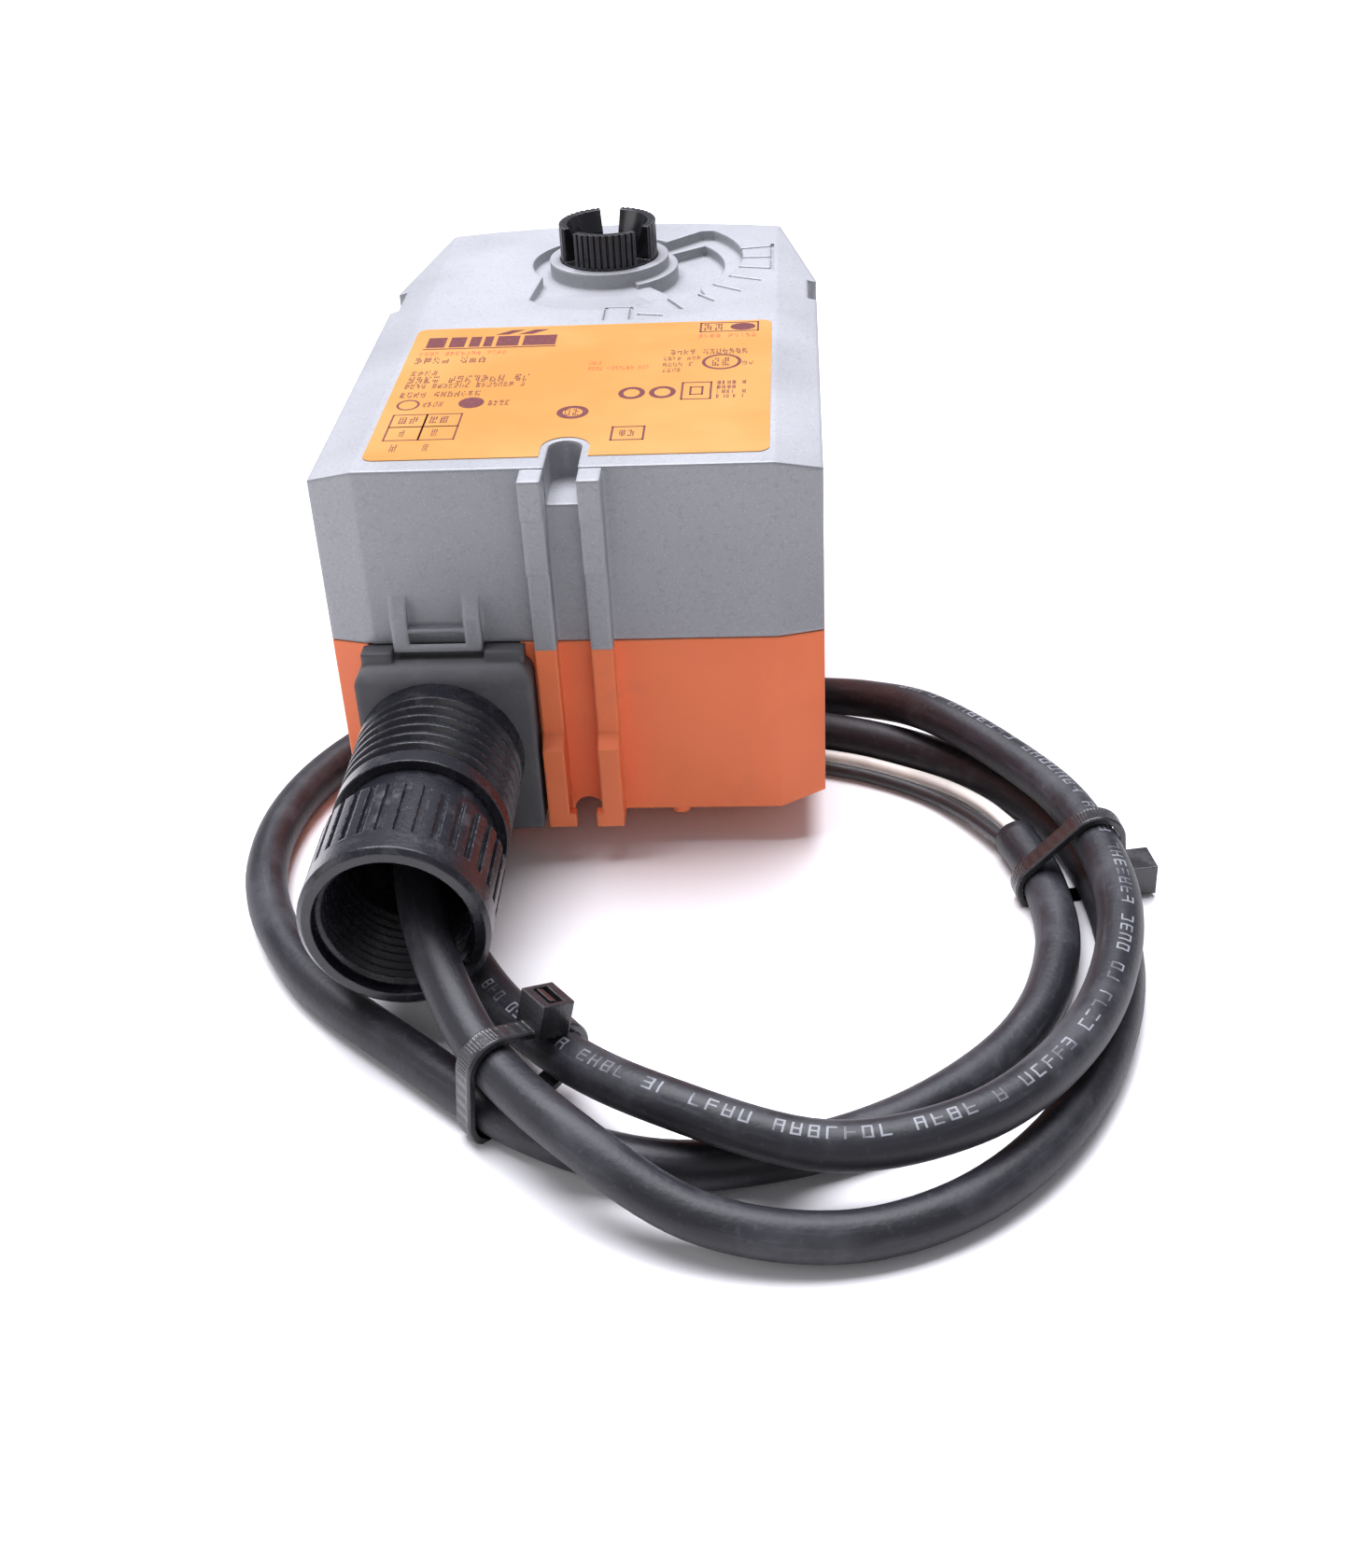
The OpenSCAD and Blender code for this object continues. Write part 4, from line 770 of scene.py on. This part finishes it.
line_of_print(0.100, 0.152, 0.385, 1.8, 4, 15)
oval(0.225, 0.390, 4.4, 4.8, filled=True)
line_of_print(0.272, 0.326, 0.385, 1.8, 4, 17)
box_of_lines(0.032, 0.130, 0.214, 0.315)
box_of_lines(0.032, 0.222, 0.214, 0.228)
box_of_lines(0.120, 0.130, 0.124, 0.315)
line_of_print(0.056, 0.106, 0.272, 2.2, 2, 19, 1.1)
line_of_print(0.136, 0.184, 0.272, 2.2, 2, 21, 1.1)
line_of_print(0.070, 0.084, 0.180, 2.2, 1, 23, 1.2)
line_of_print(0.152, 0.168, 0.180, 2.2, 1, 25, 1.2)
line_of_print(0.062, 0.080, 0.080, 2.2, 1, 27, 1.2)
line_of_print(0.144, 0.158, 0.080, 2.2, 1, 29, 1.2)
oval(0.497, 0.300, 5.4, 5.6, 1.0)
line_of_print(0.478, 0.516, 0.300, 2.2, 2, 31, 1.1)
box_of_lines(0.605, 0.095, 0.690, 0.190, 0.35)
line_of_print(0.628, 0.667, 0.143, 2.0, 2, 33)
line_of_print(0.512, 0.545, 0.672, 1.4, 3, 35, shade=1)
line_of_print(0.512, 0.675, 0.628, 1.3, 16, 37, shade=1)
line_of_print(0.730, 0.955, 0.740, 2.0, 13, 39)
line_of_print(0.712, 0.812, 0.690, 1.4, 8, 41)
line_of_print(0.712, 0.792, 0.642, 1.4, 6, 43)
line_of_print(0.712, 0.776, 0.598, 1.4, 5, 45)
oval(0.868, 0.655, 7.0, 7.4, 0.6)
line_of_print(0.845, 0.892, 0.655, 3.0, 2, 47, 1.1)
line_of_print(0.925, 0.955, 0.640, 1.4, 2, 49)
oval(0.640, 0.430, 4.6, 5.4, 0.9)
oval(0.720, 0.430, 4.6, 5.4, 0.9)
box_of_lines(0.768, 0.370, 0.848, 0.500, 0.35)
box_of_lines(0.790, 0.405, 0.826, 0.465, 0.35)
line_of_print(0.862, 0.938, 0.440, 6.2, 6, 51, 0.95)
box_of_lines(0.800, 0.905, 0.965, 0.985, 0.35)
line_of_print(0.815, 0.868, 0.945, 2.6, 2, 53, 1.1)
oval(0.920, 0.945, 4.6, 3.6, filled=True)
line_of_print(0.800, 0.960, 0.872, 1.5, 10, 55, shade=1)
for face in label_print.faces:
    face.normal_update()
    if face.normal.z < 0:
        face.normal_flip()
printed = set_down("label_print", label_print, "housing", ink.material)
printed.data.materials.append(scarlet.material)


# The output sleeve. A black glass-filled tube through the whole head, its splined crowns split into three
# tongues that a shaft clamp grips; bronze bushes carry it and lip seals close it off.
crown = Finish("black glass-filled moulding", (0.009, 0.009, 0.011), 0.26, **{"Specular IOR Level": 0.55})
crown_normal, crown_edge_highlight = crown.rounded(0.00035)
crown_dust = crown.noise(0.0035, 4.0, 0.65).ramp(0.52, 0.80)
# The grey mixed in is partly real dust and partly a painted highlight along every rounded edge.
crown.wear(color=crown.mix((crown_edge_highlight * 0.45 + crown_dust * 0.16).clamped(), (0.009, 0.009, 0.011, 1.0),
                           (0.13, 0.13, 0.14, 1.0)),
           roughness=crown_dust.ramp(0.0, 1.0, 0.22, 0.44),
           normal=crown.bump(crown.noise(0.0007, 3.0), 0.00003, crown_normal))
for node in ("output_sleeve", "spring_arbor", "motor_cap"):
    paint(node, crown.material)
lip = moulded("nitrile lip seal", (0.018, 0.018, 0.019), 0.60)
paint("shaft_seal_upper", lip)
paint("shaft_seal_lower", lip)


# The cable entry. A soft black block fills the window in the shells; the screwed collar stands out of it,
# and the knurled ring on its end takes a flexible conduit and turns freely.
rubbery = Finish("soft black block", (0.100, 0.100, 0.106), 0.60, **{"Specular IOR Level": 0.35})
rubbery_normal, rubbery_edge_highlight = rubbery.rounded(0.0014)
bloom = rubbery.noise(0.008, 4.0, 0.65).ramp(0.46, 0.78)
# The lighter grey is partly bloom on the rubber and partly a painted highlight along its rounded edges.
rubbery.wear(color=rubbery.mix((bloom * 0.35 + rubbery_edge_highlight * 0.3).clamped(), (0.098, 0.098, 0.104, 1.0),
                               (0.200, 0.200, 0.210, 1.0)),
             roughness=bloom.ramp(0.0, 1.0, 0.54, 0.70),
             normal=rubbery.bump(rubbery.noise(0.0008, 3.0, 0.6), 0.00006, rubbery_normal))
paint("cable_block", rubbery.material)
paint("cable_grommet", rubbery.material)

fitting = Finish("black conduit fitting", (0.011, 0.011, 0.014), 0.32, **{"Specular IOR Level": 0.48})
fitting_normal, fitting_edge_highlight = fitting.rounded(0.0004)
dust = fitting.noise(0.0050, 4.0, 0.7).ramp(0.50, 0.80)
rub_and_sheen = fitting.noise(0.0012, 3.0, 0.6).ramp(0.45, 0.7)
# The grey is partly dust and partly patches along the rounded edges, which are partly rubbed wear and partly a
# painted highlight.
fitting.wear(color=fitting.mix((fitting_edge_highlight * rub_and_sheen * 0.75 + dust * 0.15).clamped(), (0.010, 0.010, 0.014, 1.0),
                               (0.19, 0.19, 0.21, 1.0)),
             roughness=dust.ramp(0.0, 1.0, 0.27, 0.52),
             normal=fitting.bump(fitting.noise(0.0009, 3.0), 0.00004, fitting_normal))
paint("conduit_collar", fitting.material)
paint("conduit_ring", fitting.material)
